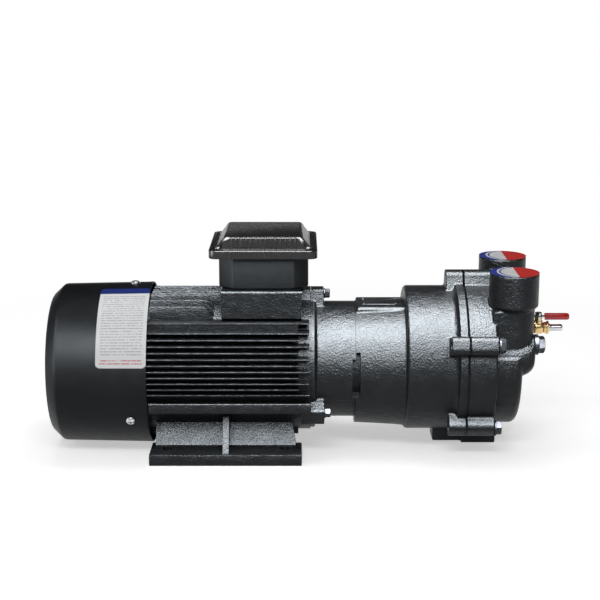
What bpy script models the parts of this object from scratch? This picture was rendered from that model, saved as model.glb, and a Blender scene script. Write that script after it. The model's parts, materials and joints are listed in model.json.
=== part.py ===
"""Close-coupled liquid ring vacuum pump on its electric motor.

The shaft lies along +X, from the fan cowl to the pump cover, and the machine stands on Z = 0.
All sizes are metres.  Places along the shaft count from the drive-end face of the motor frame,
heights count from the shaft, and the machine empty carries both to the world.
"""

from math import asin, cos, degrees, pi, radians, sin, sqrt, tau

import bmesh
import bpy
from mathutils import Matrix

# Clearances and facets
FIT = 0.0003  # between pieces that touch
RUNNING = 0.0008  # between a turning piece and a fixed one
OVERRUN = 0.001  # how far a cutter passes the surface it cuts
CUT_ROOM = 0.005  # the same for a cutter with a faceted round side
SHARP_ANGLE = radians(35)
BIG_SIDES = 32
RING_SIDES = 20
MID_SIDES = 16
SMALL_SIDES = 12
SCREW_SIDES = 8
MERGE = 1e-6

# Motor frame
SHAFT_HEIGHT = 0.100
FRAME_LENGTH = 0.205
STATOR_R = 0.0775
FRAME_WALL = 0.0052
FIN_HEIGHT = 0.0135
FIN_T = 0.002
FIN_PITCH = 0.0071
SIDE_FINS = 11
SIDE_FIN_TOP = 0.0546
LEDGE_RISE = 0.0099
FIN_SHORT_GAP = 0.0148
FIN_LONG_GAP = 0.0018
RAIL_TOP = 0.0268
RAIL_HEIGHT = 0.0125
RAIL_REACH = 0.010
TOP_FIN_FIRST = 0.0075
TOP_FIN_PITCH = 0.0097
TOP_FINS = 6
TOP_FIN_HEIGHT = 0.0167
TOP_FIN_STRAIGHT = 0.030
TOP_FIN_SLOPE = 0.010
TOP_FIN_DROP = 0.014
BELLY_FIN_HEIGHT = 0.006
BELLY_FIN_REACH = 0.040
LEAD_HOLE = 0.030

# Motor feet
FOOT_LENGTH = 0.181
FOOT_GAP = 0.0105  # from the drive-end face
FOOT_T = 0.0137
FOOT_Y = 0.104
FOOT_SHELF = 0.034
FOOT_BOLT_GAUGE = 0.160
FOOT_BOLT_SPACING = 0.140
FOOT_HOLE_R = 0.006
FOOT_SLANT = 0.005
FOOT_WALL_BACK = 0.011
FOOT_WALL_FRONT = 0.007
GUSSET_T = 0.007
GUSSET_ANGLE = 28
FOOT_JOIN_ANGLE = 47
FOOT_JOIN_SPAN = 7

# Terminal pad and box
PAD_GAP = 0.0108
PAD_LENGTH = 0.095
PAD_HALF = 0.062
PAD_RISE = 0.0187
PAD_DEPTH = 0.0323
BOX_LENGTH = 0.107
BOX_HALF = 0.050
BOX_HEIGHT = 0.0403
BOX_CHAMFER = 0.017
BOX_WALL = 0.004
BOX_X = -0.0563
BOX_EAR_R = 0.007
BOX_EAR_DEPTH = 0.006
GASKET_T = 0.0006
LID_LENGTH = 0.128
LID_HALF = 0.066
LID_FLANGE_T = 0.0084
LID_RISE = 0.0144
LID_WALL = 0.0035
LID_CORNER = 0.009
LID_CROWN_HALF = 0.0525
LID_CROWN_SLOPE = 0.010
LID_CROWN_RIB_SPAN = 0.040
LID_RIM = 0.0085
LID_POCKET_GAP = 0.0015
LID_RIBS = 13
LID_RIB_DEPTH = 0.001
LID_SCREW_INSET_X = 0.0105
LID_SCREW_INSET_Y = 0.0165
LID_SCREW_R = 0.002
LID_SCREW_HEAD_R = 0.004
LID_SCREW_HEAD_T = 0.0025
LID_SCREW_LENGTH = 0.0095
BOARD_SIZE = 0.052
BOARD_T = 0.010
STUD_R = 0.0022
STUD_HEIGHT = 0.012
STUD_GAUGE = 0.016
GLAND_R = 0.0125
GLAND_LENGTH = 0.024
GLAND_BORE_R = 0.006

# Fan end
COWL_LENGTH = 0.121
COWL_OVERLAP = 0.0122
COWL_AIR_GAP = 0.0009
COWL_T = 0.0014
COWL_TAPER = 0.0024
COWL_CORNER = 0.012
COWL_SCREW_GAP = 0.021
COWL_SCREW_R = 0.002
COWL_SCREW_HEAD_R = 0.0042
COWL_SCREW_HEAD_T = 0.0026
COWL_SCREW_LENGTH = 0.009
GRILLE_RINGS = 3
GRILLE_SLOTS = 8
GRILLE_INNER_R = 0.022
GRILLE_SLOT_WIDTH = 0.010
GRILLE_BAR = 0.0055
FAN_R = 0.080
FAN_BACK_T = 0.0025
FAN_VANES = 9
FAN_VANE_T = 0.0025
FAN_VANE_WIDTH = 0.034
FAN_VANE_TURN = 10
FAN_HUB_R = 0.018
FAN_SEAT_R = 0.0125
FAN_GAP = 0.0065

# Shields and their bearings
SPIGOT_DEPTH = 0.010
SHIELD_WEB_T = 0.0067
SHIELD_BOLT_CIRCLE = 0.0863
SHIELD_BOLT_R = 0.003
SHIELD_BOLT_HEX = 0.010
SHIELD_BOLT_HEAD_T = 0.006
SHIELD_BOLT_ANGLES = (90, -30, 210)
SHIELD_LUG_HALF = 0.0115
FRAME_LUG_LENGTH = 0.0112
SHIELD_LUG_LENGTH = 0.0162
SHIELD_LENGTH = 0.0535
BARREL_STEP = 0.008
BARREL_WALL = 0.013
BELLY_STEP = 0.0075
BELLY_START = 0.0172
BELLY_ANGLE = -24
BELLY_STEPS = 14
SHIELD_RIM_T = 0.005
DRIVE_BORE_R = 0.015
DRIVE_OUTER_R = 0.036
DRIVE_WIDTH = 0.019
DRIVE_BEARING_GAP = 0.022
DRIVE_BALLS = 8
FAN_BORE_R = 0.015
FAN_OUTER_R = 0.031
FAN_WIDTH = 0.016
FAN_BALLS = 9
FAN_BEARING_SET = 0.0108  # how far the bearing stands out of the frame
BALL_SHARE = 0.55  # ball diameter against the ring's radial section
BALL_CLEARANCE = 0.0009
BEARING_LAND = 0.6  # height of a ring's shoulder against the ball's radius
CAGE_SHARE = 0.7  # half width of the cage against the ball's radius
HUB_WALL = 0.008
SHOULDER = 0.005

# Rotor and stator
STACK_ROOM = 0.0422  # from the stack to the fan-end face
STACK_GAP = 0.0328
ROTOR_R = 0.0486
AIR_GAP = 0.0007
ROTOR_SEAT_R = 0.021
END_RING_LENGTH = 0.010
WINDING_LENGTH = 0.0275
WINDING_R = 0.069
WINDING_CLEARANCE = 0.003
SEAL_SHAFT_R = 0.014
IMPELLER_SEAT_R = 0.0125

# Pump casing
LANTERN_LENGTH = 0.0607
LANTERN_FLARE = 0.0037
LANTERN_SPIGOT = 0.008
LANTERN_SPIGOT_WALL = 0.0045
CHAMBER_LENGTH = 0.070
ECCENTRICITY = 0.0062
CHAMBER_BORE_R = 0.078
CHAMBER_WALL = 0.0103
CHAMBER_CORNER = 0.004
CHAMBER_DEPTH = 0.058
FLANGE_RISE = 0.0072
FLANGE_T = 0.016
LUG_T = 0.020
LUG_RISE = 0.0135
LUG_WIDTH = 0.0225
LUG_CORNER = 0.007
COVER_BOLT_RISE = 0.0065
COVER_BOLT_R = 0.0045
COVER_BOLT_ANGLES = (90, 22, -42, 158, 222)
COVER_BOLT_HEX = 0.015
COVER_BOLT_HEAD_T = 0.0062
WASHER_RISE = 0.0006
WASHER_T = 0.0018
PLATE_PAD_HALF = 0.030
PLATE_PAD_LENGTH = 0.056
PLATE_PAD_GAP = 0.002
PLATE_PAD_RISE = 0.0005
PLATE_PAD_CHAMFER = 0.003
WINDOW_ANGLES = (-21, 23)
WINDOW_STEPS = 5
SHIELD_WINDOW_ANGLES = (-21, 17)
LANTERN_WINDOW = 0.0055
SHIELD_WINDOW = 0.004
PUMP_FOOT_HALF = 0.0186
CASING_FOOT_LENGTH = 0.033
CASING_FOOT_LIFT = 0.003
COVER_FOOT_LENGTH = 0.042

# Mechanical seal, from the wall towards the impeller
SEAL_WALL = 0.007
SEAL_BORE_R = 0.024
SEAL_SEAT_LENGTH = 0.0075
SEAL_HEAD_LENGTH = 0.005
SEAL_HEAD_R = 0.0205
SPRING_WIRE_R = 0.0007
SPRING_R = 0.0175
SPRING_TURNS = 3
SPRING_LENGTH = 0.0075

# Impeller
IMPELLER_R = 0.069
IMPELLER_HUB_R = 0.026
IMPELLER_VANES = 14
VANE_ROOT_T = 0.0048
VANE_TIP_T = 0.0030
VANE_SWEEP = 20  # degrees that a vane leans forward from root to tip
VANE_STEPS = 3
SHROUD_T = 0.003
KEY_WIDTH = 0.008
KEY_LENGTH = 0.032
KEY_HEIGHT = 0.007
IMPELLER_SCREW_R = 0.005
IMPELLER_SCREW_HEAD_R = 0.016
IMPELLER_SCREW_HEAD_T = 0.005
IMPELLER_SCREW_LENGTH = 0.020

# Port plate and cover
PORT_PLATE_T = 0.0024
SUCTION_SWEEP = (-50, 65)
DISCHARGE_SWEEP = (190, 235)
PORT_INNER_R = 0.030
PORT_OUTER_R = 0.056
PORT_STEPS = 6
COVER_T = 0.032
COVER_STEP = 0.0015
COVER_CAVITY_DEPTH = 0.024
COVER_PARTITION = 0.006
SADDLE_RISE = 0.009
SADDLE_BOTTOM = 0.055
SADDLE_NOTCH = 0.0012
COVER_BOSS_R = 0.081
COVER_BOSS_T = 0.032
COVER_BOSS_ROUND = 0.008
PORT_Y = 0.0516
PORT_REACH = 0.022  # from the cover face to the port axis
PORT_NECK_R = 0.0254
PORT_HEAD_R = 0.0293
PORT_BORE_R = 0.0220
PORT_TOP = 0.123
PORT_HEAD_HEIGHT = 0.039
PORT_CONE_HEIGHT = 0.0065
COLUMN_BOTTOM = -0.0025
COLUMN_ROUND = 0.022
BRIDGE_BOTTOM = 0.024
BRIDGE_TOP = 0.060
BRIDGE_SET = 0.009
DUCT_R = 0.016
DUCT_Y = 0.044
PLUG_Z = 0.0349
PLUG_COLLAR_R = 0.0124
PLUG_COLLAR_T = 0.0055
PLUG_HEX = 0.018
PLUG_HEX_T = 0.0073
PLUG_SHANK_R = 0.009
PLUG_SHANK_LENGTH = 0.010
FLAP_SWEEP = (186, 239)
FLAP_LAP = 0.003
FLAP_T = 0.0006

# Ball valve on the cover
VALVE_Z = 0.043
VALVE_BOSS_R = 0.012
VALVE_R = 0.00835
VALVE_LENGTH = 0.0265
VALVE_HEX = 0.0150
VALVE_HEX_T = 0.004
VALVE_BORE_R = 0.0025
VALVE_SHANK_R = 0.005
VALVE_SHANK_LENGTH = 0.008
STEM_REACH = 0.0137
STEM_R = 0.0022
STEM_TOP = 0.0195
BALL_R = 0.0048
TOWER_R = 0.0045
TOWER_TOP = 0.0130
LEVER_T = 0.0016
LEVER_LENGTH = 0.0377
LEVER_HALF = 0.0035
LEVER_HUB_R = 0.0055
SLEEVE_LENGTH = 0.0304
SLEEVE_HALF = 0.0052
SLEEVE_HEIGHT = 0.008
NUT_HEX = 0.008
NUT_T = 0.004
NIPPLE_R = 0.00465
NIPPLE_LENGTH = 0.0165
NIPPLE_BARB = 0.0008

# Places that follow from the sizes above
FRAME_BORE_R = STATOR_R + FIT
FRAME_R = FRAME_BORE_R + FRAME_WALL
FIN_R = FRAME_R + FIN_HEIGHT
FLOOR = -SHAFT_HEIGHT
LEDGE_Z = SIDE_FIN_TOP + LEDGE_RISE
PAD_TOP = FRAME_R + PAD_RISE
COWL_OPEN_X = COWL_OVERLAP - FRAME_LENGTH
COWL_END_X = COWL_OPEN_X - COWL_LENGTH
COWL_INNER_R = FIN_R + COWL_AIR_GAP
COWL_SCREW_X = COWL_OPEN_X - COWL_SCREW_GAP
BOX_FLOOR = PAD_TOP + FIT
BOX_TOP = BOX_FLOOR + BOX_HEIGHT
LID_BOTTOM = BOX_TOP + GASKET_T + 2 * FIT
LID_FLANGE_TOP = LID_BOTTOM + LID_FLANGE_T
LID_SCREW_X = LID_LENGTH / 2 - LID_SCREW_INSET_X
LID_SCREW_Y = LID_HALF - LID_SCREW_INSET_Y
BARREL_R = FRAME_R - BARREL_STEP
BARREL_CAVITY_R = BARREL_R - BARREL_WALL
DRIVE_BEARING_X = DRIVE_BEARING_GAP
FAN_BEARING_X = -FRAME_LENGTH - FAN_BEARING_SET
STACK_LENGTH = FRAME_LENGTH - STACK_GAP - STACK_ROOM
STACK_X = -STACK_GAP - STACK_LENGTH
SHIELD_LUG_R = FIN_R
LANTERN_X = SHIELD_LENGTH + FIT
LANTERN_R = BARREL_R
CHAMBER_X = SHIELD_LENGTH + LANTERN_LENGTH
JOINT_X = CHAMBER_X + CHAMBER_LENGTH
BORE_X = JOINT_X - CHAMBER_DEPTH
CHAMBER_R = CHAMBER_BORE_R + CHAMBER_WALL
FLANGE_R = CHAMBER_R + FLANGE_RISE
LUG_R = FLANGE_R + LUG_RISE
COVER_BOLT_CIRCLE = FLANGE_R + COVER_BOLT_RISE
PLATE_X = JOINT_X + FIT
COVER_X = PLATE_X + PORT_PLATE_T + FIT
COVER_FACE_X = COVER_X + COVER_T
COVER_R = FLANGE_R - COVER_STEP
PORT_X = COVER_FACE_X + PORT_REACH
COLUMN_X = PORT_X + PORT_NECK_R
VALVE_X = COLUMN_X
STEM_X = VALVE_X + STEM_REACH
LEVER_Z = TOWER_TOP + FIT
SEAL_X = BORE_X - SEAL_SEAT_LENGTH - SEAL_HEAD_LENGTH - SPRING_LENGTH
IMPELLER_X = BORE_X + FIT
IMPELLER_END_X = JOINT_X - FIT
SCREW_HEAD_X = IMPELLER_END_X - FIT - IMPELLER_SCREW_HEAD_T
FAN_X = FAN_BEARING_X - SHOULDER - FAN_GAP
LEVER_TIP_X = STEM_X + LEVER_LENGTH
CENTRE_X = (COWL_END_X + LEVER_TIP_X) / 2
CORNER_SIGNS = ((-1, -1), (1, -1), (1, 1), (-1, 1))


# Outlines, as lists of flat points
def arc(cx, cy, radius, start, end, steps):
    """Points on an arc from one angle to another, in degrees, both ends included."""
    angles = [radians(start + (end - start) * i / steps) for i in range(steps + 1)]
    return [(cx + radius * cos(a), cy + radius * sin(a)) for a in angles]


def regular(radius, sides, turn=0.0, cx=0.0, cy=0.0):
    """Corners of a regular polygon."""
    return arc(cx, cy, radius, turn, turn + 360, sides)[:-1]


def hexagon(across_flats, cx=0.0, cy=0.0):
    """Corners of a hexagon of a given width across its flats."""
    return regular(across_flats / 2 / cos(pi / 6), 6, 30, cx, cy)


def rounded(x0, x1, y0, y1, radius, steps=3):
    """A rectangle with round corners; one step makes chamfers."""
    return (
        arc(x1 - radius, y0 + radius, radius, -90, 0, steps)
        + arc(x1 - radius, y1 - radius, radius, 0, 90, steps)
        + arc(x0 + radius, y1 - radius, radius, 90, 180, steps)
        + arc(x0 + radius, y0 + radius, radius, 180, 270, steps)
    )


def sector(inner, outer, start, end, steps, cz=0.0):
    """A piece of a flat ring between two angles."""
    return arc(0, cz, outer, start, end, steps) + arc(0, cz, inner, end, start, steps)


def lug(angle, inner, outer, width, corner, cz=0.0):
    """A lug that points outwards at an angle, with two round corners."""
    half = width / 2
    flat = [(inner, -half)]
    flat += arc(outer - corner, corner - half, corner, -90, 0, 3)
    flat += arc(outer - corner, half - corner, corner, 0, 90, 3)
    flat += [(inner, half)]
    c, s = cos(radians(angle)), sin(radians(angle))
    return [(u * c - v * s, u * s + v * c + cz) for u, v in flat]


# Solids, each a new object of one closed mesh
def new_object(bm, name="tool"):
    """Put a bmesh into a new object of the scene, with its faces pointing out."""
    bmesh.ops.recalc_face_normals(bm, faces=bm.faces)
    mesh = bpy.data.meshes.new(name)
    bm.to_mesh(mesh)
    bm.free()
    obj = bpy.data.objects.new(name, mesh)
    bpy.context.scene.collection.objects.link(obj)
    return obj


def turned(profile, sides, axis="X", centre=(0.0, 0.0)):
    """Turn a closed (place, radius) outline about an axis through a centre."""
    a, b = centre
    frames = {
        "X": (lambda p, r: (p, a, b + r), (0, a, b), (1, 0, 0)),
        "Y": (lambda p, r: (a, p, b + r), (a, 0, b), (0, 1, 0)),
        "Z": (lambda p, r: (a + r, b, p), (a, b, 0), (0, 0, 1)),
    }
    place, middle, direction = frames[axis]
    bm = bmesh.new()
    points = [bm.verts.new(place(p, r)) for p, r in profile]
    for i, (_, radius) in enumerate(profile):
        following = (i + 1) % len(profile)
        if radius or profile[following][1]:
            bm.edges.new((points[i], points[following]))
    geometry = bm.verts[:] + bm.edges[:]
    bmesh.ops.spin(
        bm, geom=geometry, cent=middle, axis=direction, angle=tau, steps=sides, use_merge=True
    )
    bmesh.ops.remove_doubles(bm, verts=bm.verts, dist=MERGE)
    return new_object(bm)


def prism(outline, start, end, axis="X"):
    """Extrude a flat outline between two places on an axis."""
    place = {
        "X": lambda p, q: (start, p, q),
        "Y": lambda p, q: (p, start, q),
        "Z": lambda p, q: (p, q, start),
    }[axis]
    along = {"X": (1, 0, 0), "Y": (0, 1, 0), "Z": (0, 0, 1)}[axis]
    bm = bmesh.new()
    face = bm.faces.new([bm.verts.new(place(p, q)) for p, q in outline])
    moved = bmesh.ops.extrude_face_region(bm, geom=[face])["geom"]
    verts = [item for item in moved if isinstance(item, bmesh.types.BMVert)]
    bmesh.ops.translate(bm, verts=verts, vec=[c * (end - start) for c in along])
    return new_object(bm)


def block(x0, x1, y0, y1, z0, z1):
    """A plain rectangular block."""
    return prism([(y0, z0), (y1, z0), (y1, z1), (y0, z1)], x0, x1)


def rod(radius, start, end, sides=SMALL_SIDES, axis="X", centre=(0.0, 0.0)):
    """A round bar along an axis."""
    return turned([(start, 0), (start, radius), (end, radius), (end, 0)], sides, axis, centre)


def loft(rings):
    """Skin a row of outlines of (x, y, z) points and close both ends."""
    bm = bmesh.new()
    loops = [[bm.verts.new(point) for point in ring] for ring in rings]
    for lower, upper in zip(loops, loops[1:]):
        for i, corner in enumerate(lower):
            j = (i + 1) % len(lower)
            bm.faces.new((corner, lower[j], upper[j], upper[i]))
    bm.faces.new(loops[0])
    bm.faces.new(loops[-1])
    return new_object(bm)


def boolean(target, tool, operation):
    """Run one exact Boolean on the target and use up the tool."""
    modifier = target.modifiers.new(operation.title(), "BOOLEAN")
    modifier.operation = operation
    modifier.solver = "EXACT"
    modifier.object = tool
    evaluated = target.evaluated_get(bpy.context.evaluated_depsgraph_get())
    result = bpy.data.meshes.new_from_object(evaluated)
    target.modifiers.remove(modifier)
    bm = bmesh.new()
    bm.from_mesh(result)
    bmesh.ops.remove_doubles(bm, verts=bm.verts, dist=MERGE)
    bmesh.ops.dissolve_degenerate(bm, edges=bm.edges, dist=MERGE)
    bm.to_mesh(result)
    bm.free()
    before, target.data = target.data, result
    bpy.data.meshes.remove(before)
    used = tool.data
    bpy.data.objects.remove(tool)
    bpy.data.meshes.remove(used)
    return target


def join(target, *tools):
    """Add solids to the target."""
    for tool in tools:
        boolean(target, tool, "UNION")
    return target


def cut(target, *tools):
    """Take solids away from the target."""
    for tool in tools:
        boolean(target, tool, "DIFFERENCE")
    return target


def together(solids):
    """Put solids that don't touch each other into one object, for use as one tool."""
    bm = bmesh.new()
    for solid in solids:
        bm.from_mesh(solid.data)
        bpy.data.objects.remove(solid)
    return new_object(bm)


def turn_about_shaft(obj, angle):
    """Turn what points up so that it points outwards at an angle from +Y."""
    obj.data.transform(Matrix.Rotation(radians(angle - 90), 4, "X"))
    return obj


def polar(radius, angle, cz=0.0):
    """The (y, z) place at an angle from +Y about a centre on the middle plane."""
    return radius * cos(radians(angle)), radius * sin(radians(angle)) + cz


def both_sides(start, end):
    """An angle range on the +Y side and its mirror image on the -Y side."""
    return (start, end), (180 - end, 180 - start)


# Finishes: colour, roughness, metallic
BLACK_PAINT = ((0.020, 0.022, 0.026), 0.42, 0.0)
SATIN_BLACK = ((0.024, 0.026, 0.030), 0.50, 0.0)
GLOSS_BLACK = ((0.012, 0.013, 0.015), 0.22, 0.0)
DARK_GREY = ((0.045, 0.048, 0.053), 0.45, 0.0)
BLACK_STEEL = ((0.060, 0.062, 0.066), 0.35, 0.9)
ZINC = ((0.62, 0.63, 0.65), 0.30, 1.0)
STEEL = ((0.50, 0.51, 0.53), 0.32, 1.0)
LAMINATION = ((0.23, 0.24, 0.26), 0.45, 0.9)
COPPER = ((0.50, 0.16, 0.06), 0.40, 0.8)
BRONZE = ((0.46, 0.28, 0.10), 0.38, 1.0)
BRASS = ((0.62, 0.42, 0.14), 0.28, 1.0)
RUBBER = ((0.015, 0.015, 0.016), 0.70, 0.0)
CERAMIC = ((0.70, 0.68, 0.62), 0.30, 0.0)
CARBON = ((0.030, 0.030, 0.032), 0.40, 0.0)
RED_VINYL = ((0.55, 0.020, 0.020), 0.35, 0.0)
BOARD = ((0.20, 0.09, 0.035), 0.55, 0.0)
NYLON = ((0.030, 0.032, 0.036), 0.50, 0.0)


def piece(name, obj, finish, parent):
    """Name a finished solid, give it a material of its own and hang it on its body."""
    colour, roughness, metallic = finish
    material = bpy.data.materials.new(name + "_finish")
    material.use_nodes = True
    shader = material.node_tree.nodes["Principled BSDF"].inputs
    shader["Base Color"].default_value = (*colour, 1.0)
    shader["Roughness"].default_value = roughness
    shader["Metallic"].default_value = metallic
    obj.name = name
    obj.data.name = name
    obj.data.materials.clear()
    obj.data.materials.append(material)
    obj.data.shade_smooth()
    obj.data.set_sharp_from_angle(angle=SHARP_ANGLE)
    obj.parent = parent
    return obj


def copies(name, obj, finish, parent, spots):
    """Place one fastener and its copies, which share its mesh and its material."""
    first = piece(f"{name}_1", obj, finish, parent)
    for number, (place, turn) in enumerate(spots, 1):
        item = first
        if number > 1:
            item = bpy.data.objects.new(f"{name}_{number}", first.data)
            bpy.context.scene.collection.objects.link(item)
            item.parent = parent
        item.location = place
        item.rotation_euler = turn


def body(name, place, parent=None):
    """An empty that carries the pieces of one moving body, on its joint's axis."""
    empty = bpy.data.objects.new(name, None)
    bpy.context.scene.collection.objects.link(empty)
    empty.parent = parent
    empty.location = place
    return empty


# Motor frame, feet and terminal pad
def fin_blocks(heights, gaps, radius):
    """Level fins on both sides, from inside the wall out to a circle."""
    fins = []
    for height, gap in zip(heights, gaps):
        inner = sqrt(FRAME_BORE_R**2 - height**2) - FRAME_WALL
        outer = sqrt(radius**2 - (abs(height) + FIN_T / 2) ** 2)
        low, high = height - FIN_T / 2, height + FIN_T / 2
        fins.append(block(-FRAME_LENGTH, -gap, inner, outer, low, high))
        fins.append(block(-FRAME_LENGTH, -gap, -outer, -inner, low, high))
    return fins


def top_fin(y):
    """One upright fin behind the terminal pad; the outer ones slope down before it."""
    start = COWL_OPEN_X + COWL_T
    pad = -PAD_GAP - PAD_LENGTH
    end = pad - TOP_FIN_SLOPE
    foot = sqrt(FRAME_BORE_R**2 - y**2) - FRAME_WALL
    tip = min(sqrt((FRAME_R + TOP_FIN_HEIGHT) ** 2 - y**2), FIN_R)
    outline = [(start, foot), (end, foot), (end, tip - TOP_FIN_DROP)]
    outline += [(end - TOP_FIN_SLOPE, tip), (start, tip)]
    if abs(y) < TOP_FIN_STRAIGHT:
        reach = pad + OVERRUN
        outline = [(start, foot), (reach, foot), (reach, tip), (start, tip)]
    return prism(outline, y - FIN_T / 2, y + FIN_T / 2, "Y")


def belly_fin(y):
    """One upright fin under the motor, between the feet."""
    tip = sqrt((FRAME_R + BELLY_FIN_HEIGHT) ** 2 - y**2)
    root = sqrt(FRAME_BORE_R**2 - y**2) - FRAME_WALL
    return block(-FRAME_LENGTH, -FIN_SHORT_GAP, y - FIN_T / 2, y + FIN_T / 2, -tip, -root)


def foot(side):
    """One foot rail, and its sloping wall up to the frame with ends that lean inwards."""
    top = FLOOR + FOOT_T
    shelf = FOOT_Y - FOOT_SHELF
    seat_y, seat_z = polar(FRAME_R - FRAME_WALL / 4, -FOOT_JOIN_ANGLE)
    under_y, under_z = polar(FRAME_R - FRAME_WALL / 4, -FOOT_JOIN_ANGLE - FOOT_JOIN_SPAN)
    sole = [(FOOT_Y, FLOOR), (FOOT_Y, top), (shelf - FOOT_T, top), (shelf - FOOT_T / 2, FLOOR)]
    rail = prism([(side * y, z) for y, z in sole], -FOOT_GAP - FOOT_LENGTH, -FOOT_GAP)
    outline = [(shelf, top - FIN_T), (shelf, top), (seat_y, seat_z), (under_y, under_z)]
    outline += [(shelf - FOOT_T + FIN_T, top - FIN_T)]
    start, end = -FOOT_GAP - FOOT_LENGTH + FOOT_WALL_BACK, -FOOT_GAP - FOOT_WALL_FRONT
    wall = prism([(side * y, z) for y, z in outline], start, end)
    for vertex in wall.data.vertices:
        lean = FOOT_SLANT * (vertex.co.z - top) / (seat_z - top)
        vertex.co.x += lean if vertex.co.x < (start + end) / 2 else -lean
    return join(rail, wall)


def gusset(side):
    """The triangular web in the middle of a foot."""
    middle = -FOOT_GAP - FOOT_LENGTH / 2
    top = FLOOR + FOOT_T
    high_y, high_z = polar(FRAME_R - FRAME_WALL / 2, -GUSSET_ANGLE)
    outline = [(FOOT_Y - FOOT_SLANT, top - FIT), (high_y, high_z)]
    outline += [(high_y - FOOT_T, high_z - FOOT_T), (FOOT_Y - FOOT_SHELF - FIT, top - FIT)]
    flat = [(side * y, z) for y, z in outline]
    return prism(flat, middle - GUSSET_T / 2, middle + GUSSET_T / 2)


def terminal_pad():
    """The raised seat of the terminal box."""
    low = PAD_TOP - PAD_DEPTH
    root = FRAME_BORE_R / 2
    outline = [(PAD_HALF, low), (PAD_HALF, PAD_TOP), (-PAD_HALF, PAD_TOP), (-PAD_HALF, low)]
    outline += [(-root, root), (root, root)]
    return prism(outline, -PAD_GAP - PAD_LENGTH, -PAD_GAP)


def shield_lugs(start, end):
    """The three ears that carry the shield bolts, between two places on the shaft."""
    inner = FRAME_BORE_R - FRAME_WALL
    outlines = [
        lug(angle, inner, SHIELD_LUG_R, 2 * SHIELD_LUG_HALF, LUG_CORNER / 2)
        for angle in SHIELD_BOLT_ANGLES
    ]
    return [prism(outline, start, end) for outline in outlines]


def shield_bolt_holes(start, end):
    """Cutters for the three shield bolts."""
    return together(
        rod(SHIELD_BOLT_R + FIT, start, end, centre=polar(SHIELD_BOLT_CIRCLE, angle))
        for angle in SHIELD_BOLT_ANGLES
    )


def lead_hole(low, high):
    """Cutter for the way of the motor's leads into the terminal box."""
    left = BOX_X - BOX_LENGTH / 2 + 2 * BOX_WALL
    return block(left, left + LEAD_HOLE / 2, -LEAD_HOLE / 2, LEAD_HOLE / 2, low, high)


def motor_frame(parent):
    """The finned casting with its feet, rails, lugs and terminal pad."""
    frame = rod(FRAME_R, -FRAME_LENGTH, 0, BIG_SIDES)
    heights = [SIDE_FIN_TOP - i * FIN_PITCH for i in range(SIDE_FINS)]
    gaps = [FIN_SHORT_GAP if i % 2 else FIN_LONG_GAP for i in range(SIDE_FINS)]
    join(frame, together(fin_blocks(heights, gaps, FIN_R)))
    join(frame, together(fin_blocks([LEDGE_Z], [FIN_LONG_GAP], FIN_R)))
    rows = [TOP_FIN_FIRST + i * TOP_FIN_PITCH for i in range(TOP_FINS)]
    join(frame, together(top_fin(side * y) for y in rows for side in (-1, 1)))
    belly = [y for y in rows if y < BELLY_FIN_REACH]
    join(frame, together(belly_fin(side * y) for y in belly for side in (-1, 1)))
    root = FRAME_BORE_R - 2 * FRAME_WALL
    for side in (-1, 1):
        reach = sorted((side * root, side * (FRAME_R + RAIL_REACH)))
        low = -RAIL_TOP - RAIL_HEIGHT
        join(frame, block(COWL_OPEN_X + COWL_T, 0, *reach, low, -RAIL_TOP))
        join(frame, foot(side), gusset(side))
    join(frame, terminal_pad(), *shield_lugs(-FRAME_LUG_LENGTH, 0))
    cut(frame, rod(FRAME_BORE_R, -FRAME_LENGTH - OVERRUN, OVERRUN, BIG_SIDES))
    cut(frame, shield_bolt_holes(-FRAME_LUG_LENGTH - OVERRUN, OVERRUN))
    middle = -FOOT_GAP - FOOT_LENGTH / 2
    spots = [
        (middle + sx * FOOT_BOLT_SPACING / 2, sy * FOOT_BOLT_GAUGE / 2)
        for sx in (-1, 1)
        for sy in (-1, 1)
    ]
    low, high = FLOOR - OVERRUN, FLOOR + FOOT_T + OVERRUN
    holes = [rod(FOOT_HOLE_R, low, high, axis="Z", centre=spot) for spot in spots]
    cut(frame, together(holes), lead_hole(FRAME_BORE_R / 2, PAD_TOP + OVERRUN))
    piece("motor_frame", frame, BLACK_PAINT, parent)


# Stator and rotor
def winding_head(start, end):
    """The round-edged ring of coil ends beside the stator stack."""
    inner = ROTOR_R + AIR_GAP + WINDING_CLEARANCE
    return turned(rounded(start, end, inner, WINDING_R, WINDING_CLEARANCE, 1), MID_SIDES)


def stator(parent):
    """The laminated stack and the winding heads at both of its ends."""
    end = STACK_X + STACK_LENGTH
    inner = ROTOR_R + AIR_GAP
    ring = [(STACK_X, inner), (STACK_X, STATOR_R), (end, STATOR_R), (end, inner)]
    piece("stator_core", turned(ring, BIG_SIDES), LAMINATION, parent)
    fan_side = winding_head(STACK_X - FIT - WINDING_LENGTH, STACK_X - FIT)
    drive_side = winding_head(end + FIT, end + FIT + WINDING_LENGTH)
    piece("stator_winding_fan_end", fan_side, COPPER, parent)
    piece("stator_winding_drive_end", drive_side, COPPER, parent)


def key_block(low, high, slack):
    """The impeller key, or the slot that it needs with some slack round it."""
    start = IMPELLER_X + SHROUD_T
    half = KEY_WIDTH / 2 + slack
    return block(start - slack, start + KEY_LENGTH + slack, -half, half, low, high)


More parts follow.
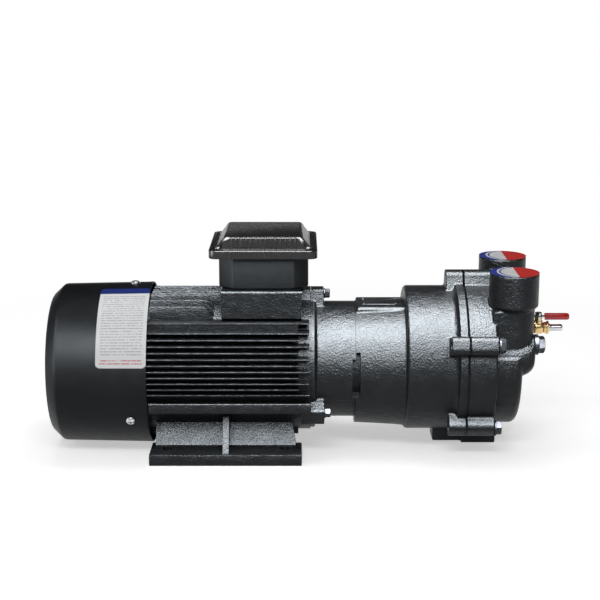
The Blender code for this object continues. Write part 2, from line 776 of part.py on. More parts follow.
def rotor(parent):
    """Everything on the shaft but the impeller: shaft, rotor core, key."""
    key_low = IMPELLER_SEAT_R - KEY_HEIGHT / 2
    profile = [
        (FAN_X - FAN_VANE_WIDTH - SHOULDER, FAN_SEAT_R - FIT),
        (FAN_BEARING_X - FIT, FAN_SEAT_R - FIT),
        (FAN_BEARING_X - FIT, FAN_BORE_R - FIT),
        (FAN_BEARING_X + FAN_WIDTH + FIT, FAN_BORE_R - FIT),
        (FAN_BEARING_X + FAN_WIDTH + FIT, ROTOR_SEAT_R - FIT),
        (DRIVE_BEARING_X - FIT, ROTOR_SEAT_R - FIT),
        (DRIVE_BEARING_X - FIT, DRIVE_BORE_R - FIT),
        (DRIVE_BEARING_X + DRIVE_WIDTH + FIT, DRIVE_BORE_R - FIT),
        (DRIVE_BEARING_X + DRIVE_WIDTH + FIT, SEAL_SHAFT_R),
        (IMPELLER_X - FIT, SEAL_SHAFT_R),
        (IMPELLER_X - FIT, IMPELLER_SEAT_R - FIT),
        (SCREW_HEAD_X - 2 * FIT, IMPELLER_SEAT_R - FIT),
    ]
    closed = [(profile[0][0], 0), *profile, (profile[-1][0], 0)]
    shaft = turned(closed, MID_SIDES)
    depth = SCREW_HEAD_X - IMPELLER_SCREW_LENGTH - OVERRUN
    cut(shaft, rod(IMPELLER_SCREW_R + FIT, depth, SCREW_HEAD_X + OVERRUN))
    cut(shaft, key_block(key_low - FIT, IMPELLER_SEAT_R + OVERRUN, FIT))
    piece("shaft", shaft, STEEL, parent)

    key = key_block(key_low, key_low + KEY_HEIGHT, 0)
    piece("impeller_key", key, STEEL, parent)

    left, right = STACK_X - END_RING_LENGTH, STACK_X + STACK_LENGTH + END_RING_LENGTH
    ring_r = ROTOR_R - 2 * RUNNING
    core = [
        (left, ROTOR_SEAT_R), (left + END_RING_LENGTH, ROTOR_SEAT_R),
        (right - END_RING_LENGTH, ROTOR_SEAT_R), (right, ROTOR_SEAT_R),
        (right, ring_r), (right - END_RING_LENGTH, ring_r), (right - END_RING_LENGTH, ROTOR_R),
        (left + END_RING_LENGTH, ROTOR_R), (left + END_RING_LENGTH, ring_r), (left, ring_r),
    ]
    piece("rotor_core", turned(core, RING_SIDES), LAMINATION, parent)


def fan(parent):
    """The radial cooling fan: back plate, hub and straight vanes."""
    far = FAN_X - FAN_VANE_WIDTH
    profile = [
        (FAN_X, FAN_SEAT_R), (FAN_X, FAN_R), (FAN_X - FAN_BACK_T, FAN_R),
        (FAN_X - FAN_BACK_T, FAN_HUB_R), (far, FAN_HUB_R), (far, FAN_SEAT_R),
    ]
    wheel = turned(profile, MID_SIDES)
    vanes = []
    for number in range(FAN_VANES):
        inner = (FAN_SEAT_R + FAN_HUB_R) / 2
        half = FAN_VANE_T / 2
        start, end = far + FAN_BACK_T, FAN_X - FAN_BACK_T / 2
        vane = block(start, end, -half, half, inner, FAN_R - FAN_BACK_T)
        vanes.append(turn_about_shaft(vane, 360 * number / FAN_VANES + FAN_VANE_TURN))
    piece("fan", join(wheel, together(vanes)), NYLON, parent)


def bearing(name, start, width, bore_r, outer_r, balls, fixed, turning, cage_body):
    """One ball bearing: two rings with grooves, and a cage with its balls."""
    end = start + width
    middle = (start + end) / 2
    pitch_r = (bore_r + outer_r) / 2
    ball_r = BALL_SHARE * (outer_r - bore_r) / 2
    groove_r = ball_r + BALL_CLEARANCE
    land = BEARING_LAND * ball_r
    tilt = degrees(asin(land / groove_r))
    outer = [(start, outer_r), (end, outer_r), (end, pitch_r + land)]
    outer += arc(middle, pitch_r, groove_r, tilt, 180 - tilt, 3)
    outer += [(start, pitch_r + land)]
    inner = [(start, bore_r), (end, bore_r), (end, pitch_r - land)]
    inner += arc(middle, pitch_r, groove_r, -tilt, tilt - 180, 3)
    inner += [(start, pitch_r - land)]
    piece(f"bearing_outer_{name}", turned(outer, RING_SIDES), STEEL, fixed)
    piece(f"bearing_inner_{name}", turned(inner, RING_SIDES), STEEL, turning)
    half = land / 2
    reach = CAGE_SHARE * ball_r
    ring = [(-reach, pitch_r - half), (-reach, pitch_r + half)]
    ring += [(reach, pitch_r + half), (reach, pitch_r - half)]
    cage = turned(ring, 2 * balls)
    spheres = []
    for number in range(balls):
        bm = bmesh.new()
        y, z = polar(pitch_r, 360 * number / balls)
        place = Matrix.Translation((0, y, z))
        bmesh.ops.create_uvsphere(bm, u_segments=6, v_segments=4, radius=ball_r, matrix=place)
        spheres.append(new_object(bm))
    piece(f"bearing_cage_{name}", join(cage, together(spheres)), STEEL, cage_body)


# End shields and cowl
def drive_end_shield(parent):
    """The shield that carries the pump: rim, bearing seat and open barrel."""
    start, end = DRIVE_BEARING_X, DRIVE_BEARING_X + DRIVE_WIDTH
    web_x = start + SHOULDER - SHIELD_WEB_T / 2
    profile = [
        (-SPIGOT_DEPTH, 0), (-SPIGOT_DEPTH, STATOR_R), (FIT, STATOR_R), (FIT, FRAME_R - FIN_T),
        (SHIELD_RIM_T, FRAME_R - FIN_T), (SHIELD_RIM_T + FIN_T, BARREL_R),
        (SHIELD_LENGTH, BARREL_R), (SHIELD_LENGTH, 0),
    ]
    shield = join(turned(profile, BIG_SIDES), *shield_lugs(FIT, SHIELD_LUG_LENGTH))
    hub_r = DRIVE_OUTER_R + HUB_WALL
    wide, narrow = STATOR_R - SHIELD_WEB_T, BARREL_R - BELLY_STEP - SHIELD_RIM_T
    hollow = [(-SPIGOT_DEPTH - OVERRUN, 0), (-SPIGOT_DEPTH - OVERRUN, wide), (FIT, wide)]
    hollow += [(BELLY_START - SHIELD_WEB_T, narrow), (web_x, narrow), (web_x, 0)]
    before = turned(hollow, MID_SIDES)
    cut(before, rod(hub_r, start - SHOULDER / 2, end, MID_SIDES))
    behind = rod(BARREL_CAVITY_R, web_x + SHIELD_WEB_T, SHIELD_LENGTH + OVERRUN, BIG_SIDES)
    cut(behind, rod(hub_r, start, end + SHOULDER, MID_SIDES))
    seat_r = DRIVE_OUTER_R + FIT
    bore = [(start - SHOULDER, 0), (start - SHOULDER, seat_r), (end + FIT, seat_r)]
    bore += [(end + FIT, seat_r - SHOULDER), (end + 2 * SHOULDER, seat_r - SHOULDER)]
    bore += [(end + 2 * SHOULDER, 0)]
    cut(shield, before, behind, turned(bore, RING_SIDES))
    cut(shield, shield_bolt_holes(-OVERRUN, SHIELD_LUG_LENGTH + OVERRUN))
    sweep = (180 - BELLY_ANGLE, 360 + BELLY_ANGLE)
    inner, outer = BARREL_R - BELLY_STEP, BARREL_R + CUT_ROOM
    belly = sector(inner, outer, *sweep, BELLY_STEPS)
    cut(shield, prism(belly, BELLY_START, SHIELD_LENGTH + OVERRUN))
    for sweep in both_sides(*SHIELD_WINDOW_ANGLES):
        window = sector(BARREL_CAVITY_R - OVERRUN, outer, *sweep, WINDOW_STEPS)
        cut(shield, prism(window, SHIELD_LENGTH - SHIELD_WINDOW, SHIELD_LENGTH + OVERRUN))
    piece("end_shield_drive", shield, BLACK_PAINT, parent)
    spots = []
    for angle in SHIELD_BOLT_ANGLES:
        y, z = polar(SHIELD_BOLT_CIRCLE, angle)
        spots.append(((SHIELD_LUG_LENGTH + FIT, y, z), (radians(angle), 0, 0)))
    head = prism(hexagon(SHIELD_BOLT_HEX), 0, SHIELD_BOLT_HEAD_T)
    reach = SHIELD_LUG_LENGTH + FRAME_LUG_LENGTH - OVERRUN
    bolt = join(head, rod(SHIELD_BOLT_R, -reach, SHIELD_BOLT_HEAD_T / 2))
    copies("shield_bolt", bolt, BLACK_STEEL, parent, spots)


def cowl_inner_radius(x):
    """Radius inside the cowl, which narrows a little towards its grille."""
    return COWL_INNER_R - COWL_TAPER * (COWL_OPEN_X - x) / COWL_LENGTH


def fan_end_shield(parent):
    """The shield at the fan end, with the ears that hold the cowl."""
    start, end = FAN_BEARING_X, FAN_BEARING_X + FAN_WIDTH
    face = -FRAME_LENGTH - FIT
    profile = [
        (face + SPIGOT_DEPTH, 0), (face + SPIGOT_DEPTH, STATOR_R), (face, STATOR_R),
        (face, FRAME_R), (face - SHIELD_WEB_T, FRAME_R), (face - SHIELD_WEB_T, 0),
    ]
    shield = turned(profile, BIG_SIDES)
    hub_r = FAN_OUTER_R + HUB_WALL
    hollow = rod(STATOR_R - SHIELD_WEB_T, face, face + SPIGOT_DEPTH + OVERRUN, MID_SIDES)
    cut(shield, hollow)
    join(shield, rod(hub_r, start - SHOULDER, end + SHOULDER / 2, MID_SIDES))
    seat_r = FAN_OUTER_R + FIT
    bore = [(end + SHOULDER, 0), (end + SHOULDER, seat_r), (start - FIT, seat_r)]
    bore += [(start - FIT, seat_r - SHOULDER), (start - 2 * SHOULDER, seat_r - SHOULDER)]
    bore += [(start - 2 * SHOULDER, 0)]
    cut(shield, turned(bore, RING_SIDES))
    ear = (COWL_SCREW_X - SHIELD_WEB_T, face)
    tip = cowl_inner_radius(ear[0]) * cos(pi / BIG_SIDES) - FIT
    half = SHIELD_LUG_HALF
    top = sqrt(tip**2 - half**2)
    root = FRAME_R - FRAME_WALL
    for angle in SHIELD_BOLT_ANGLES:
        arm = block(ear[0], ear[1] - FIT, -half, half, root, top)
        low, high = root + FRAME_WALL, tip + OVERRUN
        hole = rod(COWL_SCREW_R + FIT, low, high, SMALL_SIDES, "Z", (COWL_SCREW_X, 0))
        join(shield, turn_about_shaft(arm, angle))
        cut(shield, turn_about_shaft(hole, angle))
    piece("end_shield_fan", shield, BLACK_PAINT, parent)


def fan_cowl(parent):
    """The sheet cowl with its slotted grille, and its three screws."""
    end_r = cowl_inner_radius(COWL_END_X + COWL_CORNER) + COWL_T
    inner_corner = COWL_CORNER - COWL_T
    wall_x = COWL_END_X + COWL_CORNER
    profile = [(COWL_END_X, 0)]
    profile += arc(wall_x, end_r - COWL_CORNER, COWL_CORNER, 180, 90, 3)
    profile += [(COWL_OPEN_X, COWL_INNER_R + COWL_T), (COWL_OPEN_X, COWL_INNER_R)]
    profile += arc(wall_x, end_r - COWL_CORNER, inner_corner, 90, 180, 3)
    profile += [(COWL_END_X + COWL_T, 0)]
    cowl = turned(profile, BIG_SIDES)
    slots = []
    for ring in range(GRILLE_RINGS):
        inner = GRILLE_INNER_R + ring * (GRILLE_SLOT_WIDTH + GRILLE_BAR)
        outer = inner + GRILLE_SLOT_WIDTH
        half = 180 / GRILLE_SLOTS - degrees(GRILLE_BAR / (inner + outer))
        for number in range(GRILLE_SLOTS):
            angle = 360 * number / GRILLE_SLOTS
            outline = sector(inner, outer, angle - half, angle + half, 2)
            slots.append(prism(outline, COWL_END_X - OVERRUN, COWL_END_X + COWL_T + OVERRUN))
    cut(cowl, together(slots))
    outside = cowl_inner_radius(COWL_SCREW_X) + COWL_T
    for angle in SHIELD_BOLT_ANGLES:
        low, high = outside - SHIELD_WEB_T, outside + OVERRUN
        hole = rod(COWL_SCREW_R + FIT, low, high, SMALL_SIDES, "Z", (COWL_SCREW_X, 0))
        cut(cowl, turn_about_shaft(hole, angle))
    piece("fan_cowl", cowl, SATIN_BLACK, parent)
    head_t = COWL_SCREW_HEAD_T
    profile = [
        (FIT - COWL_SCREW_LENGTH, 0), (FIT - COWL_SCREW_LENGTH, COWL_SCREW_R),
        (FIT, COWL_SCREW_R), (FIT, COWL_SCREW_HEAD_R), (head_t / 2, COWL_SCREW_HEAD_R),
        (head_t, COWL_SCREW_HEAD_R / 2), (head_t, 0),
    ]
    screw = turned(profile, SCREW_SIDES, "Z")
    spots = []
    for angle in SHIELD_BOLT_ANGLES:
        y, z = polar(outside, angle)
        spots.append(((COWL_SCREW_X, y, z), (radians(angle - 90), 0, 0)))
    copies("cowl_screw", screw, ZINC, parent, spots)


# Terminal box
def box_corners(reach_x, reach_y):
    """The four (x, y) places at a reach from the middle of the terminal box."""
    return [(BOX_X + sx * reach_x, sy * reach_y) for sx, sy in CORNER_SIGNS]


def box_ear(sx, sy):
    """The web and eye under one lid screw, outside the chamfered corner of the box."""
    half_length, reach = BOX_LENGTH / 2, BOX_CHAMFER + BOX_WALL / 2
    outline = arc(LID_SCREW_X, LID_SCREW_Y, BOX_EAR_R, -45, 135, 4)
    outline += [(half_length - reach, BOX_HALF - BOX_WALL / 2)]
    outline += [(half_length - BOX_WALL / 2, BOX_HALF - reach)]
    flat = [(BOX_X + sx * x, sy * y) for x, y in outline]
    return prism(flat, BOX_TOP - BOX_EAR_DEPTH, BOX_TOP, "Z")


def box_outline(inset, radius, steps=1):
    """Outline of the box, or of its hollow, at an inset from its outside."""
    x, y = BOX_LENGTH / 2 - inset, BOX_HALF - inset
    return rounded(BOX_X - x, BOX_X + x, -y, y, radius, steps)


def terminal_box(parent):
    """The chamfered box, its gland, its terminal board, gasket and lid screws."""
    inner = BOX_CHAMFER - BOX_WALL / 2
    box = prism(box_outline(0, BOX_CHAMFER), BOX_FLOOR, BOX_TOP, "Z")
    for sx, sy in CORNER_SIGNS:
        join(box, box_ear(sx, sy))
    cut(box, prism(box_outline(BOX_WALL, inner), BOX_FLOOR + BOX_WALL, BOX_TOP + OVERRUN, "Z"))
    corners = box_corners(LID_SCREW_X, LID_SCREW_Y)
    low = BOX_TOP - BOX_EAR_DEPTH - OVERRUN
    eyes = [rod(LID_SCREW_R + FIT, low, BOX_TOP + OVERRUN, SMALL_SIDES, "Z", spot) for spot in corners]
    gland_at = (BOX_X, BOX_FLOOR + BOX_HEIGHT / 2)
    shank_r = (GLAND_R + GLAND_BORE_R) / 2
    wall = BOX_HALF - BOX_WALL
    socket = rod(shank_r + FIT, wall - OVERRUN, BOX_HALF + OVERRUN, axis="Y", centre=gland_at)
    cut(box, together(eyes), socket, lead_hole(BOX_FLOOR - OVERRUN, BOX_FLOOR + BOX_WALL + OVERRUN))
    piece("terminal_box", box, DARK_GREY, parent)

    seat = BOX_HALF + FIT
    profile = [
        (wall - BOX_WALL, GLAND_BORE_R), (wall - BOX_WALL, shank_r), (seat, shank_r),
        (seat, GLAND_R), (seat + GLAND_LENGTH / 3, GLAND_R),
        (seat + GLAND_LENGTH / 3, GLAND_R - FIN_T), (seat + GLAND_LENGTH * 0.8, GLAND_R - FIN_T),
        (seat + GLAND_LENGTH, shank_r), (seat + GLAND_LENGTH, GLAND_BORE_R),
    ]
    piece("cable_gland", turned(profile, SMALL_SIDES, "Y", gland_at), NYLON, parent)

    board_z = BOX_FLOOR + BOX_WALL + FIT
    half = BOARD_SIZE / 2
    left, right = BOX_X + STUD_R - half + BOX_WALL, BOX_X + STUD_R + half + BOX_WALL
    board = prism(rounded(left, right, -half, half, BOX_WALL, 2), board_z, board_z + BOARD_T, "Z")
    studs = []
    for column in (-1, 0, 1):
        for row in (-1, 1):
            spot = ((left + right) / 2 + column * STUD_GAUGE, row * STUD_GAUGE / 2)
            low, high = board_z + BOARD_T / 2, board_z + BOARD_T + STUD_HEIGHT
            studs.append(rod(STUD_R, low, high, 8, "Z", spot))
    piece("terminal_board", join(board, together(studs)), BOARD, parent)

    low = BOX_TOP + FIT
    ring = prism(box_outline(BOX_WALL / 4, BOX_CHAMFER), low, low + GASKET_T, "Z")
    hollow = prism(box_outline(BOX_WALL, inner), low - OVERRUN, low + GASKET_T + OVERRUN, "Z")
    piece("lid_gasket", cut(ring, hollow), RUBBER, parent)


def crown_ring(z, half_length, half_width, depth):
    """One level of the lid's crown, with ribs of a given depth on its two long sides."""
    step = 2 * LID_CROWN_RIB_SPAN / LID_RIBS
    front = []
    for number in range(LID_RIBS):
        middle = -LID_CROWN_RIB_SPAN + (number + 0.5) * step
        for x, y in ((-step / 3, 0), (-step / 6, depth), (step / 6, depth), (step / 3, 0)):
            front.append((middle + x, -half_width - y))
    side = [(-half_length, -half_width), *front, (half_length, -half_width)]
    back = [(-x, -y) for x, y in side]
    return [(BOX_X + x, y, z) for x, y in side + back]


def terminal_lid(parent):
    """The lid: flange, ribbed crown with sloping ends, and pockets for its screws."""
    half = LID_LENGTH / 2
    crown_bottom = half - LID_RIM
    crown_top = crown_bottom - LID_CROWN_SLOPE
    top = LID_FLANGE_TOP + LID_RISE
    flange = rounded(BOX_X - half, BOX_X + half, -LID_HALF, LID_HALF, LID_CORNER)
    lid = prism(flange, LID_BOTTOM, LID_FLANGE_TOP, "Z")
    low = LID_FLANGE_TOP - LID_WALL
    rings = [
        crown_ring(low, crown_bottom, LID_CROWN_HALF, LID_RIB_DEPTH),
        crown_ring(LID_FLANGE_TOP, crown_bottom, LID_CROWN_HALF, LID_RIB_DEPTH),
        crown_ring(top - LID_RIB_DEPTH, crown_top, LID_CROWN_HALF - LID_RIB_DEPTH, LID_RIB_DEPTH),
        crown_ring(top, crown_top - LID_RIB_DEPTH, LID_CROWN_HALF - 2 * LID_RIB_DEPTH, 0),
    ]
    join(lid, loft(rings))
    floor = LID_BOTTOM + LID_FLANGE_T / 2
    corners = box_corners(LID_SCREW_X, LID_SCREW_Y)
    pocket_r = LID_SCREW_HEAD_R + LID_POCKET_GAP
    pockets = [rod(pocket_r, floor, top + OVERRUN, SCREW_SIDES, "Z", spot) for spot in corners]
    under, over = LID_BOTTOM - OVERRUN, floor + OVERRUN
    holes = [rod(LID_SCREW_R + FIT, under, over, SMALL_SIDES, "Z", spot) for spot in corners]
    hollow = []
    for z, half_length, shrink in (
        (LID_BOTTOM - OVERRUN, crown_bottom - 2 * LID_WALL, 0),
        (LID_FLANGE_TOP, crown_bottom - 2 * LID_WALL, 0),
        (top - LID_WALL, crown_top - LID_WALL, LID_RIB_DEPTH),
    ):
        wide = BOX_HALF - BOX_WALL - LID_WALL - shrink
        outline = rounded(-half_length, half_length, -wide, wide, BOX_CHAMFER, 1)
        hollow.append([(BOX_X + x, y, z) for x, y in outline])
    cut(lid, together(pockets), together(holes), loft(hollow))
    piece("terminal_lid", lid, GLOSS_BLACK, parent)
    profile = [
        (-LID_SCREW_LENGTH, 0), (-LID_SCREW_LENGTH, LID_SCREW_R), (0, LID_SCREW_R),
        (0, LID_SCREW_HEAD_R), (LID_SCREW_HEAD_T, LID_SCREW_HEAD_R), (LID_SCREW_HEAD_T, 0),
    ]
    screw = turned(profile, SCREW_SIDES, "Z")
    spots = [((x, y, floor + FIT), (0, 0, 0)) for x, y in corners]
    copies("lid_screw", screw, ZINC, parent, spots)


# Pump casing, port plate and cover
def cover_lugs(start, end):
    """The bolt lugs round the pump, about the centre of its chamber."""
    inner = CHAMBER_R - CHAMBER_WALL
    outlines = [
        lug(angle, inner, LUG_R, LUG_WIDTH, LUG_CORNER, ECCENTRICITY)
        for angle in COVER_BOLT_ANGLES
    ]
    return [prism(outline, start, end) for outline in outlines]


def cover_bolt_holes(start, end):
    """Cutters for the cover bolts between two places on the shaft."""
    places = [polar(COVER_BOLT_CIRCLE, angle, ECCENTRICITY) for angle in COVER_BOLT_ANGLES]
    radius = COVER_BOLT_R + 2 * FIT
    return together(rod(radius, start, end, SCREW_SIDES, centre=place) for place in places)


def drum(radius, start, end, height=ECCENTRICITY, sides=BIG_SIDES):
    """A round solid about the centre of the pump chamber, or at another height."""
    return rod(radius, start, end, sides, centre=(0, height))


def pump_foot(start, end, lift):
    """The support under the pump, down to the floor or a little above it."""
    half = PUMP_FOOT_HALF
    top = ECCENTRICITY - CHAMBER_R + 2 * CHAMBER_WALL
    flat = rounded(start, end, -half, half, LUG_CORNER / 2, 2)
    return prism(flat, FLOOR + lift, top, "Z")


def pump_casing(parent):
    """Lantern and eccentric pump chamber in one casting."""
    casing = turned(
        [
            (LANTERN_X, 0), (LANTERN_X, LANTERN_R), (CHAMBER_X, LANTERN_R + LANTERN_FLARE),
            (CHAMBER_X + CHAMBER_WALL, LANTERN_R + LANTERN_FLARE), (CHAMBER_X + CHAMBER_WALL, 0),
        ],
        BIG_SIDES,
    )
    corner = arc(CHAMBER_X + CHAMBER_CORNER, CHAMBER_R - CHAMBER_CORNER, CHAMBER_CORNER, 180, 90, 2)
    flange_x = JOINT_X - FLANGE_T
    chamber = [(CHAMBER_X, 0), *corner, (flange_x, CHAMBER_R), (flange_x, FLANGE_R)]
    chamber += [(JOINT_X, FLANGE_R), (JOINT_X, 0)]
    join(casing, turned(chamber, BIG_SIDES, centre=(0, ECCENTRICITY)))
    join(casing, *cover_lugs(JOINT_X - LUG_T, JOINT_X))
    join(casing, pump_foot(JOINT_X - CASING_FOOT_LENGTH, JOINT_X, CASING_FOOT_LIFT))
    start, end = CHAMBER_X - PLATE_PAD_GAP - PLATE_PAD_LENGTH, CHAMBER_X - PLATE_PAD_GAP
    pad_top, chamfer = LANTERN_R + PLATE_PAD_RISE, PLATE_PAD_CHAMFER
    half, root = PLATE_PAD_HALF, LANTERN_R / 2
    pad = [(-half, root), (half, root), (half, pad_top - chamfer), (half - chamfer, pad_top)]
    pad += [(chamfer - half, pad_top), (-half, pad_top - chamfer)]
    join(casing, prism(pad, start, end))
    spigot_r = BARREL_CAVITY_R - FIT
    spigot_x = LANTERN_X - LANTERN_SPIGOT
    join(casing, rod(spigot_r, spigot_x, LANTERN_X + LANTERN_SPIGOT, BIG_SIDES))
    cavity_r, wall_x = spigot_r - LANTERN_SPIGOT_WALL, SEAL_X - SEAL_WALL
    cavity = [
        (spigot_x - OVERRUN, 0), (spigot_x - OVERRUN, cavity_r), (wall_x - SEAL_WALL, cavity_r),
        (wall_x, cavity_r - SEAL_WALL), (wall_x, 0),
    ]
    cut(casing, turned(cavity, BIG_SIDES))
    for sweep in both_sides(*WINDOW_ANGLES):
        window = sector(spigot_r + FIT, LANTERN_R + CHAMBER_CORNER, *sweep, WINDOW_STEPS)
        cut(casing, prism(window, LANTERN_X - OVERRUN, LANTERN_X + LANTERN_WINDOW))
    seal = [
        (wall_x - OVERRUN, 0), (wall_x - OVERRUN, SEAL_SHAFT_R + 2 * RUNNING),
        (SEAL_X, SEAL_SHAFT_R + 2 * RUNNING), (SEAL_X, SEAL_BORE_R),
        (BORE_X + OVERRUN, SEAL_BORE_R), (BORE_X + OVERRUN, 0),
    ]
    cut(casing, turned(seal, MID_SIDES), drum(CHAMBER_BORE_R, BORE_X, JOINT_X + OVERRUN))
    cut(casing, cover_bolt_holes(JOINT_X - LUG_T - OVERRUN, JOINT_X + OVERRUN))
    piece("pump_casing", casing, BLACK_PAINT, parent)


def port_window(sweep, inner, outer, start, end):
    """Cutter for one curved opening of the port plate."""
    outline = sector(inner, outer, *sweep, PORT_STEPS)
    return prism(outline, start, end)


def port_plate(parent):
    """The plate between chamber and cover, with its two ports and the valve flap."""
    start, end = PLATE_X, PLATE_X + PORT_PLATE_T
    plate = join(drum(COVER_R, start, end), *cover_lugs(start, end))
    half, low = PUMP_FOOT_HALF, FLOOR + CASING_FOOT_LIFT
    join(plate, block(start, end, -half, half, low, ECCENTRICITY - CHAMBER_R))
    low, high = start - OVERRUN, end + OVERRUN
    cut(plate, port_window(SUCTION_SWEEP, PORT_INNER_R, PORT_OUTER_R, low, high))
    cut(plate, port_window(DISCHARGE_SWEEP, PORT_INNER_R, PORT_OUTER_R - FLAP_LAP, low, high))
    cut(plate, cover_bolt_holes(low, high))
    piece("port_plate", plate, STEEL, parent)
    outline = sector(PORT_INNER_R - FLAP_LAP, PORT_OUTER_R, *FLAP_SWEEP, PORT_STEPS)
    flap = prism(outline, end + FIT, end + FIT + FLAP_T)
    piece("valve_flap", flap, CERAMIC, parent)


def port_column(side):
    """One column of the cover, from its round foot up to the port head."""
    y = side * PORT_Y
    back = COVER_FACE_X - COVER_STEP
    flat = [(back, y - PORT_NECK_R)]
    flat += arc(PORT_X, y, PORT_NECK_R, -90, 90, 8)
    flat += [(back, y + PORT_NECK_R)]
    neck_top = PORT_TOP - PORT_HEAD_HEIGHT - PORT_CONE_HEIGHT
    column = prism(flat, COLUMN_BOTTOM, neck_top + OVERRUN, "Z")
    right = COLUMN_X + OVERRUN
    side_view = [(back - OVERRUN, COLUMN_BOTTOM)]
    side_view += arc(COLUMN_X - COLUMN_ROUND, COLUMN_BOTTOM + COLUMN_ROUND, COLUMN_ROUND, -90, 0, 4)
    side_view += [(right, COLUMN_BOTTOM + COLUMN_ROUND), (right, PORT_TOP)]
    side_view += [(back - OVERRUN, PORT_TOP)]
    wide = PORT_NECK_R + OVERRUN
    boolean(column, prism(side_view, y - wide, y + wide, "Y"), "INTERSECT")
    head = [
        (neck_top - OVERRUN, 0), (neck_top - OVERRUN, PORT_NECK_R), (neck_top, PORT_NECK_R),
        (neck_top + PORT_CONE_HEIGHT, PORT_HEAD_R), (PORT_TOP - OVERRUN, PORT_HEAD_R),
        (PORT_TOP, PORT_HEAD_R - OVERRUN), (PORT_TOP, 0),
    ]
    join(column, turned(head, MID_SIDES, "Z", (PORT_X, y)))
    spot = (y, PLUG_Z)
    return join(column, rod(PLUG_COLLAR_R + FIT, PORT_X, COLUMN_X, centre=spot))


def cover_cavity(side):
    """The half-moon hollow behind one port, with its duct and the port bore."""
    radius = CHAMBER_R - 2 * CHAMBER_WALL
    tilt = degrees(asin(COVER_PARTITION / 2 / radius))
    outline = arc(0, ECCENTRICITY, radius, tilt - 90, 90 - tilt, 8)
    flat = [(side * y, z) for y, z in outline]
    chamber = prism(flat, COVER_X - OVERRUN, COVER_X + COVER_CAVITY_DEPTH)
    duct = rod(DUCT_R, COVER_X + OVERRUN, PORT_X, centre=(side * DUCT_Y, PLUG_Z))
    floor = COLUMN_BOTTOM + COLUMN_ROUND
    centre = (PORT_X, side * PORT_Y)
    bore = rod(PORT_BORE_R, floor, PORT_TOP + OVERRUN, MID_SIDES, "Z", centre)
    return join(chamber, duct, bore)


def cover_saddle():
    """The thick upper part of the cover between the columns, hollowed round its bolt."""
    end = COVER_FACE_X + SADDLE_RISE
    saddle = drum(COVER_R - COVER_STEP, COVER_FACE_X - COVER_STEP, end)
    notch_r = COVER_BOLT_HEX / 2 / cos(pi / 6) + WASHER_RISE + SADDLE_NOTCH
    place = polar(COVER_BOLT_CIRCLE, 90, ECCENTRICITY)
    notch = rod(notch_r, COVER_FACE_X, end + OVERRUN, MID_SIDES, centre=place)
    below = block(COVER_X, end + OVERRUN, -LUG_R, LUG_R, -LUG_R, SADDLE_BOTTOM)
    return cut(saddle, below, notch)


def pump_cover(parent):
    """The end cover: drum, lugs, lower boss, foot, two port columns and their bridge."""
    cover = drum(COVER_R, COVER_X, COVER_FACE_X)
    join(cover, *cover_lugs(COVER_X, COVER_FACE_X))
    end = COVER_FACE_X + COVER_BOSS_T
    round_r = COVER_BOSS_ROUND
    boss = [(COVER_FACE_X - COVER_STEP, 0), (COVER_FACE_X - COVER_STEP, COVER_BOSS_R)]
    boss += arc(end - round_r, COVER_BOSS_R - round_r, round_r, 90, 0, 3)
    boss += [(end, 0)]
    lower = turned(boss, BIG_SIDES, centre=(0, ECCENTRICITY))
    wide = COVER_BOSS_R + OVERRUN
    above = block(COVER_X, end + OVERRUN, -wide, wide, BRIDGE_BOTTOM, BRIDGE_BOTTOM + 2 * wide)
    join(cover, cut(lower, above), cover_saddle())
    join(cover, pump_foot(COVER_X, COVER_X + COVER_FOOT_LENGTH, 0))
    join(cover, port_column(-1), port_column(1))
    start, end = COVER_FACE_X - COVER_STEP, COLUMN_X - BRIDGE_SET
    join(cover, block(start, end, -PORT_Y, PORT_Y, BRIDGE_BOTTOM - COVER_STEP, BRIDGE_TOP))
    join(cover, rod(VALVE_BOSS_R, start, VALVE_X - FIT, MID_SIDES, centre=(0, VALVE_Z)))
    cut(cover, cover_cavity(-1), cover_cavity(1))
    cut(cover, cover_bolt_holes(COVER_X - OVERRUN, COVER_FACE_X + OVERRUN))
    for side in (-1, 1):
        depth = COLUMN_X - PLUG_SHANK_LENGTH - OVERRUN
        cut(cover, rod(PLUG_SHANK_R + FIT, depth, COLUMN_X + OVERRUN, centre=(side * PORT_Y, PLUG_Z)))
    depth = VALVE_X - VALVE_SHANK_LENGTH - OVERRUN
    cut(cover, rod(VALVE_SHANK_R + FIT, depth, VALVE_X + OVERRUN, centre=(0, VALVE_Z)))
    piece("pump_cover", cover, BLACK_PAINT, parent)


def cover_bolts(parent):
    """Hexagon bolts with washers, all of one shape."""
    washer_r = COVER_BOLT_HEX / 2 / cos(pi / 6) + WASHER_RISE
    bolt = rod(washer_r, 0, WASHER_T)
    join(bolt, prism(hexagon(COVER_BOLT_HEX), WASHER_T / 2, WASHER_T + COVER_BOLT_HEAD_T))
    reach = COVER_T + PORT_PLATE_T + LUG_T - LUG_CORNER
    join(bolt, rod(COVER_BOLT_R, -reach, WASHER_T / 2, SCREW_SIDES))
    spots = []
    for angle in COVER_BOLT_ANGLES:
        y, z = polar(COVER_BOLT_CIRCLE, angle, ECCENTRICITY)
        spots.append(((COVER_FACE_X + FIT, y, z), (radians(angle), 0, 0)))
    copies("cover_bolt", bolt, BLACK_STEEL, parent, spots)


def column_plugs(parent):
    """Hexagon plugs with collars in the two columns."""
    plug = rod(PLUG_COLLAR_R, 0, PLUG_COLLAR_T, MID_SIDES)
    join(plug, prism(hexagon(PLUG_HEX), PLUG_COLLAR_T / 2, PLUG_COLLAR_T + PLUG_HEX_T))
    join(plug, rod(PLUG_SHANK_R, -PLUG_SHANK_LENGTH, PLUG_COLLAR_T / 2))
    spots = [((COLUMN_X + FIT, side * PORT_Y, PLUG_Z), (0, 0, 0)) for side in (-1, 1)]
    copies("column_plug", plug, BLACK_STEEL, parent, spots)


